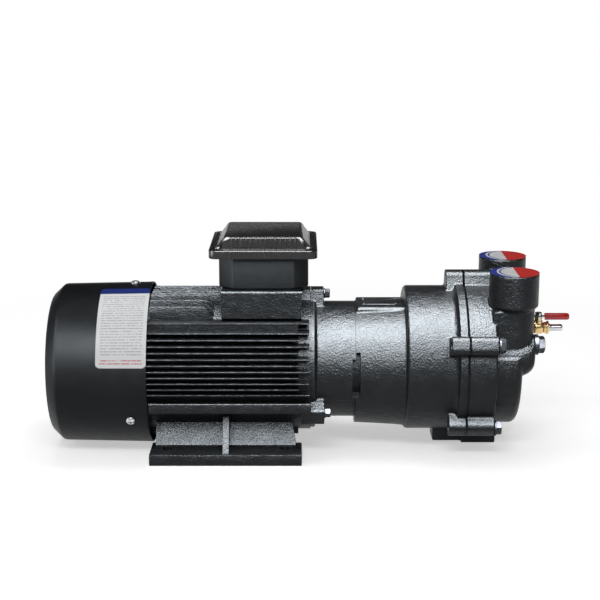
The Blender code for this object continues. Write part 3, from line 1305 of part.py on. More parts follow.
# Impeller and seal
def impeller(parent):
    """The open wheel with vanes that lean forward, and the screw that holds it."""
    outline = []
    for number in range(IMPELLER_VANES):
        flanks = ([], [])
        for step in range(VANE_STEPS + 1):
            share = step / VANE_STEPS
            radius = IMPELLER_HUB_R + share * (IMPELLER_R - IMPELLER_HUB_R)
            angle = 360 * number / IMPELLER_VANES + VANE_SWEEP * share**2
            thickness = VANE_ROOT_T + share * (VANE_TIP_T - VANE_ROOT_T)
            half = degrees(thickness / 2 / radius)
            flanks[0].append(polar(radius, angle - half))
            flanks[1].append(polar(radius, angle + half))
        outline += flanks[0] + flanks[1][::-1]
    wheel = prism(outline, IMPELLER_X + SHROUD_T / 2, IMPELLER_END_X)
    shroud = rod(IMPELLER_R, IMPELLER_X, IMPELLER_X + SHROUD_T, BIG_SIDES)
    join(wheel, shroud)
    head_room = IMPELLER_SCREW_HEAD_R + RUNNING
    bore = [
        (IMPELLER_X - OVERRUN, 0), (IMPELLER_X - OVERRUN, IMPELLER_SEAT_R),
        (SCREW_HEAD_X - FIT, IMPELLER_SEAT_R), (SCREW_HEAD_X - FIT, head_room),
        (IMPELLER_END_X + OVERRUN, head_room), (IMPELLER_END_X + OVERRUN, 0),
    ]
    cut(wheel, turned(bore, MID_SIDES))
    top = IMPELLER_SEAT_R + KEY_HEIGHT / 2 + FIT
    cut(wheel, key_block(IMPELLER_SEAT_R / 2, top, FIT))
    piece("impeller", wheel, BRONZE, parent)
    head = rod(IMPELLER_SCREW_HEAD_R, SCREW_HEAD_X, SCREW_HEAD_X + IMPELLER_SCREW_HEAD_T, MID_SIDES)
    depth = SCREW_HEAD_X - IMPELLER_SCREW_LENGTH
    join(head, rod(IMPELLER_SCREW_R, depth, SCREW_HEAD_X + OVERRUN))
    piece("impeller_screw", head, STEEL, parent)


def shaft_seal(fixed, turning):
    """The seal's fixed seat, and its turning head with the spring that presses it."""
    start, end = SEAL_X + FIT, SEAL_X + SEAL_SEAT_LENGTH
    inner = SEAL_SHAFT_R + RUNNING
    seat = [(start, inner), (start, SEAL_BORE_R - FIT), (end, SEAL_BORE_R - FIT), (end, inner)]
    piece("seal_seat", turned(seat, MID_SIDES), CERAMIC, fixed)
    start, end = end + FIT, end + SEAL_HEAD_LENGTH
    inner = SEAL_SHAFT_R + FIT
    head = [(start, inner), (start, SEAL_HEAD_R), (end, SEAL_HEAD_R), (end, inner)]
    piece("seal_head", turned(head, MID_SIDES), CARBON, turning)
    start = end + FIT + SPRING_WIRE_R
    travel = IMPELLER_X - FIT - SPRING_WIRE_R - start
    rings = []
    steps = SPRING_TURNS * SMALL_SIDES
    for step in range(steps + 1):
        angle = 360 * SPRING_TURNS * step / steps
        ring = []
        for corner in range(4):
            lift = SPRING_WIRE_R * sin(tau * corner / 4)
            y, z = polar(SPRING_R + SPRING_WIRE_R * cos(tau * corner / 4), angle)
            ring.append((start + travel * step / steps + lift, y, z))
        rings.append(ring)
    piece("seal_spring", loft(rings), STEEL, turning)


# Ball valve
def ball_valve(parent, handle):
    """The small valve on the cover; its stem, lever, sleeve and nut turn with the handle."""
    end, inset = VALVE_LENGTH, VALVE_HEX_T / 2
    waist = VALVE_R - COVER_STEP
    profile = [
        (-VALVE_SHANK_LENGTH, 0), (-VALVE_SHANK_LENGTH, VALVE_SHANK_R), (inset, VALVE_SHANK_R),
        (inset, waist), (STEM_REACH - VALVE_HEX_T, waist), (STEM_REACH - VALVE_HEX_T, VALVE_R),
        (STEM_REACH + VALVE_HEX_T, VALVE_R), (STEM_REACH + VALVE_HEX_T, waist),
        (end - inset, waist), (end - inset, 0),
    ]
    valve = turned(profile, SMALL_SIDES)
    join(valve, prism(hexagon(VALVE_HEX), FIT, VALVE_HEX_T))
    join(valve, prism(hexagon(VALVE_HEX), end - VALVE_HEX_T, end))
    stem_at = (STEM_REACH, 0)
    join(valve, rod(TOWER_R, 0, TOWER_TOP, axis="Z", centre=stem_at))
    cut(valve, rod(VALVE_BORE_R, -VALVE_SHANK_LENGTH - OVERRUN, end + OVERRUN, SCREW_SIDES))
    room = rod(BALL_R + FIT, -BALL_R - FIT, BALL_R + FIT, axis="Z", centre=stem_at)
    cut(valve, room, rod(STEM_R + FIT, 0, TOWER_TOP + OVERRUN, SMALL_SIDES, "Z", stem_at))
    valve.location = (VALVE_X, 0, VALVE_Z)
    piece("valve_body", valve, BRASS, parent)

    nipple_x = VALVE_X + end + FIT
    profile = [(nipple_x, VALVE_BORE_R), (nipple_x, NIPPLE_R)]
    barbs = 3
    pitch = NIPPLE_LENGTH / barbs
    for barb in range(barbs):
        left = nipple_x + barb * pitch
        profile += [(left + pitch / 4, NIPPLE_R), (left + pitch, NIPPLE_R - NIPPLE_BARB)]
        if barb < barbs - 1:
            profile += [(left + pitch, NIPPLE_R)]
    profile += [(nipple_x + NIPPLE_LENGTH, VALVE_BORE_R)]
    nipple = turned(profile, SCREW_SIDES, centre=(0, VALVE_Z))
    piece("hose_nipple", nipple, ZINC, parent)

    ball = bmesh.new()
    bmesh.ops.create_icosphere(ball, subdivisions=2, radius=BALL_R)
    stem = join(new_object(ball), rod(STEM_R, 0, STEM_TOP, SMALL_SIDES, "Z"))
    cut(stem, rod(VALVE_BORE_R, -BALL_R - OVERRUN, BALL_R + OVERRUN, SCREW_SIDES))
    piece("valve_stem", stem, BRASS, handle)

    low, high = LEVER_Z, LEVER_Z + LEVER_T
    outline = arc(0, 0, LEVER_HUB_R, 45, 315, 10)
    grip = LEVER_LENGTH - COVER_STEP
    outline += [(LEVER_HUB_R, -LEVER_HALF), (grip, -LEVER_HALF), (grip, LEVER_HALF)]
    outline += [(LEVER_HUB_R, LEVER_HALF)]
    lever = prism(outline, low, high, "Z")
    cut(lever, rod(STEM_R + FIT, low - OVERRUN, high + OVERRUN, SMALL_SIDES, "Z"))
    piece("valve_lever", lever, ZINC, handle)

    middle = (low + high) / 2
    half, tall = SLEEVE_HALF, SLEEVE_HEIGHT / 2
    start = LEVER_LENGTH - SLEEVE_LENGTH
    oval = rounded(-half, half, middle - tall, middle + tall, tall - OVERRUN / 2, 3)
    sleeve = prism(oval, start, LEVER_LENGTH)
    slot = LEVER_HALF + FIT
    cut(sleeve, block(start - OVERRUN, grip + FIT, -slot, slot, low - FIT, high + FIT))
    piece("lever_sleeve", sleeve, RED_VINYL, handle)

    nut = prism(hexagon(NUT_HEX), high + FIT, high + FIT + NUT_T, "Z")
    cut(nut, rod(STEM_R + FIT, high - OVERRUN, high + NUT_T + 2 * OVERRUN, SMALL_SIDES, "Z"))
    piece("lever_nut", nut, ZINC, handle)


def main():
    """Empty the scene and build the machine, from its floor-centred origin."""
    for item in list(bpy.data.objects):
        bpy.data.objects.remove(item, do_unlink=True)
    machine = body("machine", (-CENTRE_X, 0, SHAFT_HEIGHT))
    spindle = body("spindle", (0, 0, 0), machine)
    drive_x = DRIVE_BEARING_X + DRIVE_WIDTH / 2
    fan_x = FAN_BEARING_X + FAN_WIDTH / 2
    drive_cage = body("drive_cage", (drive_x, 0, 0), machine)
    fan_cage = body("fan_cage", (fan_x, 0, 0), machine)
    handle = body("handle", (STEM_X, 0, VALVE_Z), machine)
    motor_frame(machine)
    stator(machine)
    rotor(spindle)
    fan(spindle)
    bearing(
        "drive", DRIVE_BEARING_X, DRIVE_WIDTH, DRIVE_BORE_R, DRIVE_OUTER_R, DRIVE_BALLS,
        machine, spindle, drive_cage,
    )
    bearing(
        "fan", FAN_BEARING_X, FAN_WIDTH, FAN_BORE_R, FAN_OUTER_R, FAN_BALLS,
        machine, spindle, fan_cage,
    )
    drive_end_shield(machine)
    fan_end_shield(machine)
    fan_cowl(machine)
    terminal_box(machine)
    terminal_lid(machine)
    pump_casing(machine)
    port_plate(machine)
    pump_cover(machine)
    cover_bolts(machine)
    column_plugs(machine)
    impeller(spindle)
    shaft_seal(machine, spindle)
    ball_valve(machine, handle)


main()
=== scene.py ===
"""Looks of a close-coupled vacuum pump: fine geometry, finishes, studio and camera."""

import json
import logging
from dataclasses import dataclass
from enum import Enum
from math import cos, degrees, pi, radians, sin, sqrt, tau
from typing import Iterable, Sequence

import bmesh
import bpy
from mathutils import Matrix, Vector

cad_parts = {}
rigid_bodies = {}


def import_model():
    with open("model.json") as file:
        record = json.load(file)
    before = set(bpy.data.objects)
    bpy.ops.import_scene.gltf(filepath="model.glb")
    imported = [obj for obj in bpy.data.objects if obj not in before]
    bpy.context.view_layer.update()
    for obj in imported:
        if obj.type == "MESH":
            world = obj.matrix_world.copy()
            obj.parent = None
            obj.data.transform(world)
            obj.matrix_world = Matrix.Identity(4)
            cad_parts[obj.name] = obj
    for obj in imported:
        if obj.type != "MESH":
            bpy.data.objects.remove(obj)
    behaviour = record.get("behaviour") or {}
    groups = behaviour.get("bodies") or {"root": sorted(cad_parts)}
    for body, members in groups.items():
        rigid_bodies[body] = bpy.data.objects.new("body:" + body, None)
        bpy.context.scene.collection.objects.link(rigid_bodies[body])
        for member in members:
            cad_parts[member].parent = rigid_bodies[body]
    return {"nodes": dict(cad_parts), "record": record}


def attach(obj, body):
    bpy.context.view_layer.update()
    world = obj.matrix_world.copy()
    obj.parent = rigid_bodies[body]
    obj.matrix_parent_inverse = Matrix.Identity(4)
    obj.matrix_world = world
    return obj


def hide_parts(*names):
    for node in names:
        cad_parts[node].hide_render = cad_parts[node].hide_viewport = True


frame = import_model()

Point = tuple[float, float]
Point3 = tuple[float, float, float]
Rgb = tuple[float, float, float]
Thing = bpy.types.Object
Material = bpy.types.Material
Socket = bpy.types.NodeSocket

LOG = logging.getLogger("vacuum_pump")

# The shapes are drawn about the shaft, from the drive-end face of the motor frame.
SHAFT_HEIGHT = 0.100
CENTRE_X = 0.0021
TO_ROW = Matrix.Translation((-CENTRE_X, 0, SHAFT_HEIGHT))
FLOOR_Z = -SHAFT_HEIGHT
HOUSING, HANDLE = "housing", "valve_handle"
CAST_ANGLE = radians(50)
CRISP_ANGLE = radians(32)
CAST_OVER = 0.004  # how far a casting's shells pass its joints before they are cut flat
GAP = 0.0003  # between pieces that touch
LAP = 0.001  # how far a cutter passes the surface it cuts
WIDE = 0.12  # past every surface round the shaft
LEAD_HOLE_X = (-0.1018, -0.0868)  # of the hole that the motor's leads pass
QUARTERS = ((-1, -1), (-1, 1), (1, -1), (1, 1))


class Slot(Enum):
    """The record's material slots."""

    CAST = "cast_paint"
    SATIN = "satin_paint"
    GREY = "grey_paint"
    GLOSS = "gloss_lid"
    BLACK_STEEL = "black_steel"
    ZINC = "zinc"
    STEEL = "steel"
    PLATE = "plate_steel"
    LAMINATION = "lamination"
    COPPER = "copper"
    BRONZE = "bronze"
    BRASS = "brass"
    RUBBER = "rubber"
    CERAMIC = "ceramic"
    CARBON = "carbon"
    BOARD = "board"
    NYLON = "nylon"
    VINYL = "red_vinyl"


# Node trees
class Nodes:
    """A node tree in the making, with short ways to add to it."""

    def __init__(self, tree: bpy.types.NodeTree) -> None:
        """Take the tree to work in."""
        self.tree = tree

    def link(self, source: object, socket: Socket) -> None:
        """Put an output or a plain value into an input; None leaves it alone."""
        if isinstance(source, Socket):
            self.tree.links.new(source, socket)
        elif source is not None:
            socket.default_value = source

    def node(self, kind: str, *sources: object, **values: object) -> bpy.types.Node:
        """Add a node.

        Args:
            kind: the node's type.
            sources: what goes into its open inputs in order.
            values: its properties by name.

        Returns:
            The new node.
        """
        made = self.tree.nodes.new(kind)
        for key, value in values.items():
            setattr(made, key, value)
        sockets = [s for s in made.inputs if s.enabled and not s.is_unavailable]
        for source, socket in zip(sources, sockets):
            self.link(source, socket)
        return made

    def plugged(self, kind: str, **sources: object) -> Socket:
        """Add a node, fill its inputs by name, with _ for a space, and give its first output."""
        made = self.tree.nodes.new(kind)
        for name, source in sources.items():
            self.link(source, made.inputs[name.replace("_", " ")])
        return made.outputs[0]

    def math(self, operation: str, *sources: object) -> Socket:
        """One step of arithmetic on numbers or outputs."""
        return self.node("ShaderNodeMath", *sources, operation=operation).outputs[0]

    def vector(self, x: object = 0.0, y: object = 0.0, z: object = 0.0) -> Socket:
        """A vector of three numbers or outputs."""
        return self.node("ShaderNodeCombineXYZ", x, y, z).outputs[0]

    def span(self, value: Socket, low: object, high: object, start: float = 0.3,
             end: float = 0.7) -> Socket:
        """Spread a pattern over a range.

        Args:
            value: the pattern.
            low: number or output where the pattern is at its start.
            high: number or output at its end.
            start: pattern value that gives low.
            end: pattern value that gives high.

        Returns:
            The number output.
        """
        return self.plugged("ShaderNodeMapRange", Value=value, From_Min=start, From_Max=end, To_Min=low, To_Max=high)

    def seen(self, *kinds: str) -> Socket:
        """1 for rays of the given kinds, such as Camera, and 0 for all others."""
        path = self.node("ShaderNodeLightPath")
        found, *others = [path.outputs[f"Is {kind} Ray"] for kind in kinds]
        for ray in others:
            found = self.math("MAXIMUM", found, ray)
        return found


class Surface(Nodes):
    """A node material in the making."""

    def __init__(self, name: str, colour: Rgb, roughness: float, metal: float = 0.0) -> None:
        """Start from a Principled shader.

        Args:
            name: the material's name.
            colour: linear base colour.
            roughness: how matt it is, 0 to 1.
            metal: 1 for bare metal.
        """
        self.material = bpy.data.materials.new(name)
        self.material.use_nodes = True
        super().__init__(self.material.node_tree)
        self.shader = self.tree.nodes["Principled BSDF"]
        self.dress(Base_Color=(*colour, 1), Roughness=roughness, Metallic=metal)
        self.material.diffuse_color = (*colour, 1)
        self.where = self.tree.nodes.new("ShaderNodeTexCoord").outputs["Object"]

    def place(self, scale: Point3 = (1, 1, 1), shift: Point3 = (0, 0, 0)) -> Socket:
        """Object coordinates, moved first and then scaled.

        Args:
            scale: factor along each axis.
            shift: added along each axis after the scale.

        Returns:
            The vector output.
        """
        return self.plugged("ShaderNodeMapping", Vector=self.where, Scale=scale, Location=shift)

    def noise(self, size: float, detail: float = 2.0, stretch: Point3 = (1, 1, 1)) -> Socket:
        """Soft random pattern.

        Args:
            size: width of one spot in metres.
            detail: how many finer layers it has.
            stretch: factor on the pattern's density along each axis.

        Returns:
            The value output, about 0.5 in the middle.
        """
        return self.plugged("ShaderNodeTexNoise", Vector=self.place(stretch), Scale=1 / size, Detail=detail)

    def bands(self, size: float, kind: str = "BANDS", shift: Point3 = (0, 0, 0)) -> Socket:
        """Even stripes along the shaft, or rings about it.

        Args:
            size: width of one stripe and its gap in metres.
            kind: BANDS or RINGS.
            shift: moves the rings' middle.

        Returns:
            The value output.
        """
        made = self.node("ShaderNodeTexWave", wave_type=kind, rings_direction="X", bands_direction="X")
        for name, value in (("Vector", self.place(shift=shift)), ("Scale", tau / 20 / size), ("Distortion", 0)):
            self.link(value, made.inputs[name])
        return made.outputs["Fac"]

    def tones(self, value: Socket, stops: Sequence[tuple[float, Rgb]],
              steps: bool = False) -> Socket:
        """Colours along a pattern.

        Args:
            value: the pattern.
            stops: pattern values and their colours, in rising order.
            steps: hard edges instead of a blend.

        Returns:
            The colour output.
        """
        made = self.node("ShaderNodeValToRGB", value)
        ramp = made.color_ramp
        ramp.interpolation = "CONSTANT" if steps else "LINEAR"
        while len(ramp.elements) < len(stops):
            ramp.elements.new(0.5)
        for element, (place, colour) in zip(ramp.elements, stops):
            element.position = place
            element.color = (*colour, 1)
        return made.outputs["Color"]

    def mixed(self, factor: Socket, first: object, second: object) -> Socket:
        """Blend two colours by a pattern.

        Args:
            factor: 0 gives the first and 1 the second.
            first: a colour or a colour output.
            second: a colour or a colour output.

        Returns:
            The colour output.
        """
        made = self.node("ShaderNodeMix", data_type="RGBA")
        for number, value in ((0, factor), (6, first), (7, second)):
            self.link((*value, 1) if isinstance(value, tuple) else value, made.inputs[number])
        return made.outputs[2]

    def relief(self, *layers: tuple[Socket, float]) -> None:
        """Stack bumps, each a pattern and its depth in metres.

        Args:
            layers: pairs of pattern and depth.
        """
        last = None
        for height, depth in layers:
            last = self.plugged("ShaderNodeBump", Distance=depth, Height=height, Normal=last)
        self.dress(Normal=last)

    def dress(self, **values: object) -> None:
        """Give the shader patterns or plain values by the names of its inputs, with _ for a space."""
        for key, value in values.items():
            self.link(value, self.shader.inputs[key.replace("_", " ")])


# Finishes
@dataclass(frozen=True)
class CastPaint:
    """Black paint over an iron casting, with dimples and soft waves."""

    name: str
    colour: Rgb
    roughness: Point
    dimple: float = 0.0019
    dimple_depth: float = 0.0007
    wave: float = 0.009
    wave_depth: float = 0.0006
    dust: float = 0.25
    shine: float = 0.20
    tint: Rgb = (0.86, 0.94, 1.0)

    def build(self) -> Material:
        """Make the material."""
        made = Surface(self.name, self.colour, self.roughness[0])
        patches = made.noise(0.05, 3)
        pale = tuple(c * (1 + self.dust) + 0.001 for c in self.colour)
        dark = tuple(c * (1 - self.dust) for c in self.colour)
        made.dress(Base_Color=made.tones(patches, ((0.35, dark), (0.65, pale))))
        made.dress(Roughness=made.span(made.noise(0.012, 4), *self.roughness))
        made.relief(
            (made.noise(self.wave, 1), self.wave_depth),
            (made.noise(self.dimple, 2), self.dimple_depth),
        )
        made.dress(Specular_IOR_Level=self.shine, Specular_Tint=(*self.tint, 1))
        return made.material


@dataclass(frozen=True)
class BareMetal:
    """Bare or plated metal with fine marks along or round one axis."""

    name: str
    colour: Rgb
    roughness: Point
    stretch: Point3 = (1, 1, 1)
    tint: Rgb = (0.8, 0.8, 0.8)
    grain: float = 0.0006
    depth: float = 0.00002

    def build(self) -> Material:
        """Make the material."""
        made = Surface(self.name, self.colour, self.roughness[0], 1)
        stain = tuple(c * t for c, t in zip(self.colour, self.tint))
        made.dress(Base_Color=made.tones(made.noise(0.006, 3), ((0.35, stain), (0.6, self.colour))))
        marks = made.noise(self.grain, 2, self.stretch)
        made.dress(Roughness=made.span(marks, *self.roughness))
        made.relief((marks, self.depth))
        return made.material


@dataclass(frozen=True)
class Moulded:
    """Plain moulded or pressed stuff: plastic, rubber, ceramic, carbon."""

    name: str
    colour: Rgb
    roughness: Point
    grain: float = 0.0008
    depth: float = 0.00003
    coat: float = 0.0
    shine: float = 0.5

    def build(self) -> Material:
        """Make the material."""
        made = Surface(self.name, self.colour, self.roughness[0])
        pale = tuple(c * 1.18 + 0.001 for c in self.colour)
        made.dress(Base_Color=made.tones(made.noise(0.009, 4), ((0.35, self.colour), (0.7, pale))))
        made.dress(Roughness=made.span(made.noise(0.004, 4), *self.roughness))
        made.relief((made.noise(self.grain, 3), self.depth))
        made.dress(Coat_Weight=self.coat, Coat_Roughness=0.06, Specular_IOR_Level=self.shine)
        return made.material


@dataclass(frozen=True)
class Winding:
    """Varnished copper wire wound round a ring of coil ends, with painted shade in the grooves between the wires."""

    name: str = "varnished winding"
    colour: Rgb = (0.42, 0.13, 0.045)
    wire: float = 0.0011

    def build(self) -> Material:
        """Make the material."""
        made = Surface(self.name, self.colour, 0.3, 0.85)
        wires = made.bands(self.wire, "RINGS", (0, 0, -SHAFT_HEIGHT))
        # Painted shade: the grooves between the wire rings are darkened to a quarter of the copper colour.
        dark = tuple(c * 0.25 for c in self.colour)
        tone = made.mixed(made.noise(0.01, 3), self.colour, (0.32, 0.08, 0.03))
        made.dress(Base_Color=made.mixed(made.span(wires, 1, 0, 0.05, 0.4), tone, dark))
        made.relief((made.noise(0.003, 2), 0.0006), (wires, 0.0004))
        made.dress(Coat_Weight=0.6, Coat_Roughness=0.15)
        return made.material


@dataclass(frozen=True)
class SheetStack:
    """Edges of stacked electrical sheet."""

    name: str = "stacked sheet"
    colour: Rgb = (0.22, 0.23, 0.25)
    sheet: float = 0.0008

    def build(self) -> Material:
        """Make the material."""
        made = Surface(self.name, self.colour, 0.4, 0.9)
        sheets = made.bands(self.sheet)
        dark = tuple(c * 0.35 for c in self.colour)
        made.dress(Base_Color=made.tones(sheets, ((0.1, dark), (0.5, self.colour))))
        made.dress(Roughness=made.span(made.noise(0.003, 3), 0.35, 0.6))
        made.relief((sheets, 0.0002))
        return made.material


class Finishes:
    """All the finishes, one for each material slot, and the dressing of CAD nodes."""

    def __init__(self) -> None:
        """Build every finish once."""
        turned = (1, 12, 12)
        kinds = {
            Slot.CAST: CastPaint("black cast paint", (0.0050, 0.0055, 0.0065), (0.30, 0.40)),
            Slot.SATIN: CastPaint("satin cowl paint", (0.0032, 0.0036, 0.0043), (0.38, 0.44), 0.0009,
                                  0.00006, 0.02, 0.0003, shine=0.13),
            Slot.GREY: CastPaint("dark grey paint", (0.0075, 0.0090, 0.0105), (0.42, 0.50), 0.0011,
                                 0.00004, 0.03, 0.0003, shine=0.25),
            Slot.GLOSS: Moulded("glossy black lid", (0.0030, 0.0032, 0.0038), (0.20, 0.28), 0.0014,
                                0.00006, shine=0.45),
            Slot.BLACK_STEEL: BareMetal("black oxide steel", (0.040, 0.042, 0.047), (0.28, 0.42),
                                        tint=(0.55, 0.55, 0.6)),
            Slot.ZINC: BareMetal("bright zinc plate", (0.66, 0.67, 0.69), (0.16, 0.30)),
            Slot.STEEL: BareMetal("turned steel", (0.50, 0.51, 0.53), (0.18, 0.32), turned),
            Slot.PLATE: BareMetal("ground plate", (0.020, 0.021, 0.023), (0.45, 0.60)),
            Slot.LAMINATION: SheetStack(),
            Slot.COPPER: Winding(),
            Slot.BRONZE: BareMetal("cast bronze", (0.50, 0.30, 0.11), (0.30, 0.48), tint=(0.6, 0.5, 0.4),
                                   grain=0.0014, depth=0.00012),
            Slot.BRASS: BareMetal("turned brass", (0.86, 0.66, 0.36), (0.26, 0.38), turned,
                                  tint=(0.85, 0.75, 0.6)),
            Slot.RUBBER: Moulded("black rubber", (0.014, 0.014, 0.015), (0.6, 0.75)),
            Slot.CERAMIC: Moulded("ground ceramic", (0.62, 0.60, 0.55), (0.25, 0.4)),
            Slot.CARBON: Moulded("lapped carbon", (0.028, 0.028, 0.030), (0.3, 0.42)),
            Slot.BOARD: Moulded("brown moulded board", (0.16, 0.070, 0.028), (0.35, 0.5)),
            Slot.NYLON: Moulded("black nylon", (0.022, 0.023, 0.026), (0.38, 0.5), 0.0011, 0.00006),
            Slot.VINYL: Moulded("dipped red vinyl", (0.50, 0.012, 0.014), (0.16, 0.28), 0.002, 0.00005, 0.4),
        }
        self.made = {slot: kind.build() for slot, kind in kinds.items()}

    def __getitem__(self, slot: Slot) -> Material:
        """The finish of one slot."""
        return self.made[slot]

    def dress_nodes(self) -> None:
        """Give each carried-over CAD node the finish of its own slot."""
        for row in frame["record"]["subparts"]:
            node = frame["nodes"][row["node"]]
            material = self.made[Slot(row["material_slot"])]
            node.data.materials.clear()
            node.data.materials.append(material)


# Outlines, as lists of flat points
def polar(radius: float, angle: float, height: float = 0.0) -> Point:
    """The (y, z) place at an angle in degrees round a centre at a height."""
    return radius * cos(radians(angle)), height + radius * sin(radians(angle))


def arc(cx: float, cy: float, radius: float, start: float, end: float, steps: int) -> list[Point]:
    """Points on an arc, both ends included.

    Args:
        cx: first coordinate of the centre.
        cy: second coordinate of the centre.
        radius: the arc's radius.
        start: first angle in degrees.
        end: last angle in degrees.
        steps: how many equal steps lie between them.

    Returns:
        The points in order.
    """
    angles = [radians(start + (end - start) * i / steps) for i in range(steps + 1)]
    return [(cx + radius * cos(a), cy + radius * sin(a)) for a in angles]


def regular(radius: float, sides: int, turn: float = 0.0, cx: float = 0.0, cy: float = 0.0) -> list[Point]:
    """Corners of a regular polygon."""
    return arc(cx, cy, radius, turn, turn + 360, sides)[:-1]


def hexagon(across_flats: float) -> list[Point]:
    """Corners of a hexagon of a given width across its flats."""
    return regular(across_flats / 2 / cos(pi / 6), 6, 30)


def rounded(x0: float, x1: float, y0: float, y1: float, radius: float, steps: int = 6) -> list[Point]:
    """A rectangle with round corners.

    Args:
        x0: low end of the first coordinate.
        x1: its high end.
        y0: low end of the second coordinate.
        y1: its high end.
        radius: radius of the corners.
        steps: straight steps in each corner; one makes chamfers.

    Returns:
        The corners in order.
    """
    return (
        arc(x1 - radius, y0 + radius, radius, -90, 0, steps)
        + arc(x1 - radius, y1 - radius, radius, 0, 90, steps)
        + arc(x0 + radius, y1 - radius, radius, 90, 180, steps)
        + arc(x0 + radius, y0 + radius, radius, 180, 270, steps)
    )


def sector(inner: float, outer: float, start: float, end: float, steps: int = 16) -> list[Point]:
    """A piece of a flat ring between two angles about the shaft."""
    return arc(0, 0, outer, start, end, steps) + arc(0, 0, inner, end, start, steps)


def lug(angle: float, inner: float, outer: float, width: float, corner: float, cz: float = 0.0,
        draft: float = 0.0) -> list[Point]:
    """A lug that points outwards, with two round corners.

    Args:
        angle: its direction in degrees.
        inner: radius where it starts.
        outer: radius of its tip.
        width: how wide it is.
        corner: radius of its two outer corners.
        cz: height of the centre that it points away from.
        draft: how far each side spreads on the way in.

    Returns:
        The (y, z) corners in order.
    """
    half = width / 2
    flat = [(inner, -half - draft)]
    flat += arc(outer - corner, corner - half, corner, -90, 0, 5)
    flat += arc(outer - corner, half - corner, corner, 0, 90, 5)
    flat += [(inner, half + draft)]
    c, s = cos(radians(angle)), sin(radians(angle))
    return [(u * c - v * s, u * s + v * c + cz) for u, v in flat]


# Solids, each a new object of one closed mesh
def linked(name: str, data: bpy.types.ID) -> Thing:
    """A new object in the scene."""
    made = bpy.data.objects.new(name, data)
    bpy.context.scene.collection.objects.link(made)
    return made


def from_bmesh(bm: bmesh.types.BMesh, name: str) -> Thing:
    """Put a bmesh into a new object as it is."""
    mesh = bpy.data.meshes.new(name)
    bm.to_mesh(mesh)
    bm.free()
    return linked(name, mesh)


def new_object(bm: bmesh.types.BMesh, name: str = "form") -> Thing:
    """Put a bmesh into a new object, with its faces pointing out."""
    bmesh.ops.recalc_face_normals(bm, faces=bm.faces)
    return from_bmesh(bm, name)


def turned(profile: Sequence[Point], sides: int = 160, axis: str = "X", centre: Point = (0, 0)) -> Thing:
    """A lathe shape.

    Args:
        profile: (place along the axis, radius) points of a closed outline.
        sides: facets round the axis.
        axis: X, Y or Z.
        centre: the two other coordinates of the axis.

    Returns:
        The new object.
    """
    bm = bmesh.new()
    rings = []
    for along, radius in profile:
        if radius <= 1e-9:
            rings.append([bm.verts.new((along, 0, 0))])
            continue
        angles = [tau * i / sides for i in range(sides)]
        rings.append([bm.verts.new((along, radius * cos(a), radius * sin(a))) for a in angles])
    for first, second in zip(rings, rings[1:] + rings[:1]):
        for i in range(sides):
            j = (i + 1) % sides
            corners = [first[i % len(first)], first[j % len(first)], second[j % len(second)],
                       second[i % len(second)]]
            unique = list(dict.fromkeys(corners))
            if len(unique) > 2:
                bm.faces.new(unique)
    a, b = centre
    for vertex in bm.verts:
        x, y, z = vertex.co
        vertex.co = {"X": (x, y + a, z + b), "Y": (a + y, x, z + b), "Z": (a + y, b + z, x)}[axis]
    return new_object(bm)


def filled(profile: Sequence[Point], sides: int = 160, axis: str = "X", centre: Point = (0, 0)) -> Thing:
    """A lathe shape that is solid up to its axis."""
    return turned([(profile[0][0], 0), *profile, (profile[-1][0], 0)], sides, axis, centre)


def prism(outline: Sequence[Point], low: float, high: float, axis: str = "X") -> Thing:
    """A flat outline drawn out along an axis.

    Args:
        outline: corners in the plane across the axis.
        low: first place along the axis.
        high: last place along the axis.
        axis: X takes (y, z) corners, Y takes (x, z) and Z takes (x, y).

    Returns:
        The new object.
    """
    bm = bmesh.new()
    ends = []
    for along in (low, high):
        where = {"X": lambda a, b: (along, a, b), "Y": lambda a, b: (a, along, b),
                 "Z": lambda a, b: (a, b, along)}[axis]
        ends.append([bm.verts.new(where(a, b)) for a, b in outline])
    for i in range(len(outline)):
        j = (i + 1) % len(outline)
        bm.faces.new([ends[0][i], ends[0][j], ends[1][j], ends[1][i]])
    for end in ends:
        bm.faces.new(end)
    return new_object(bm)


def loft(rings: Sequence[Sequence[Point3]]) -> Thing:
    """A closed skin over rings of the same number of points."""
    bm = bmesh.new()
    loops = [[bm.verts.new(place) for place in ring] for ring in rings]
    for first, second in zip(loops, loops[1:]):
        for i in range(len(first)):
            j = (i + 1) % len(first)
            bm.faces.new([first[i], first[j], second[j], second[i]])
    bm.faces.new(loops[0])
    bm.faces.new(loops[-1])
    return new_object(bm)


def rod(radius: float, low: float, high: float, axis: str = "X", centre: Point = (0, 0),
        sides: int = 96) -> Thing:
    """A round bar between two places on an axis."""
    return filled([(low, radius), (high, radius)], sides, axis, centre)


def block(x0: float, x1: float, y0: float, y1: float, z0: float, z1: float) -> Thing:
    """A box between two corners."""
    return prism([(x0, y0), (x1, y0), (x1, y1), (x0, y1)], z0, z1, "Z")


def slab(low: float, high: float) -> Thing:
    """All there is between two places on the shaft."""
    return block(low, high, -WIDE, WIDE, -WIDE, WIDE)


def windows(sweep: Point, inner: float, outer: float, low: float, high: float) -> list[Thing]:
    """Cutters for the two openings at the sides of the lantern.

    Args:
        sweep: first and last angle of the one towards +Y, in degrees.
        inner: their inner radius.
        outer: their outer radius.
        low: first place along the shaft.
        high: last place along the shaft.

    Returns:
        The two cutters.
    """
    return [prism(sector(inner, outer, *ends, 24), low, high)
            for ends in (sweep, (180 - sweep[1], 180 - sweep[0]))]


def numbered(name: str, count: int) -> list[str]:
    """The node names of repeated pieces."""
    return [f"{name}_{number}" for number in range(1, count + 1)]


def moved(thing: Thing, matrix: Matrix) -> Thing:
    """Apply a matrix to an object's mesh."""
    thing.data.transform(matrix)
    return thing


def drop(*things: Thing) -> None:
    """Remove objects that have served."""
    for thing in things:
        bpy.data.objects.remove(thing, do_unlink=True)


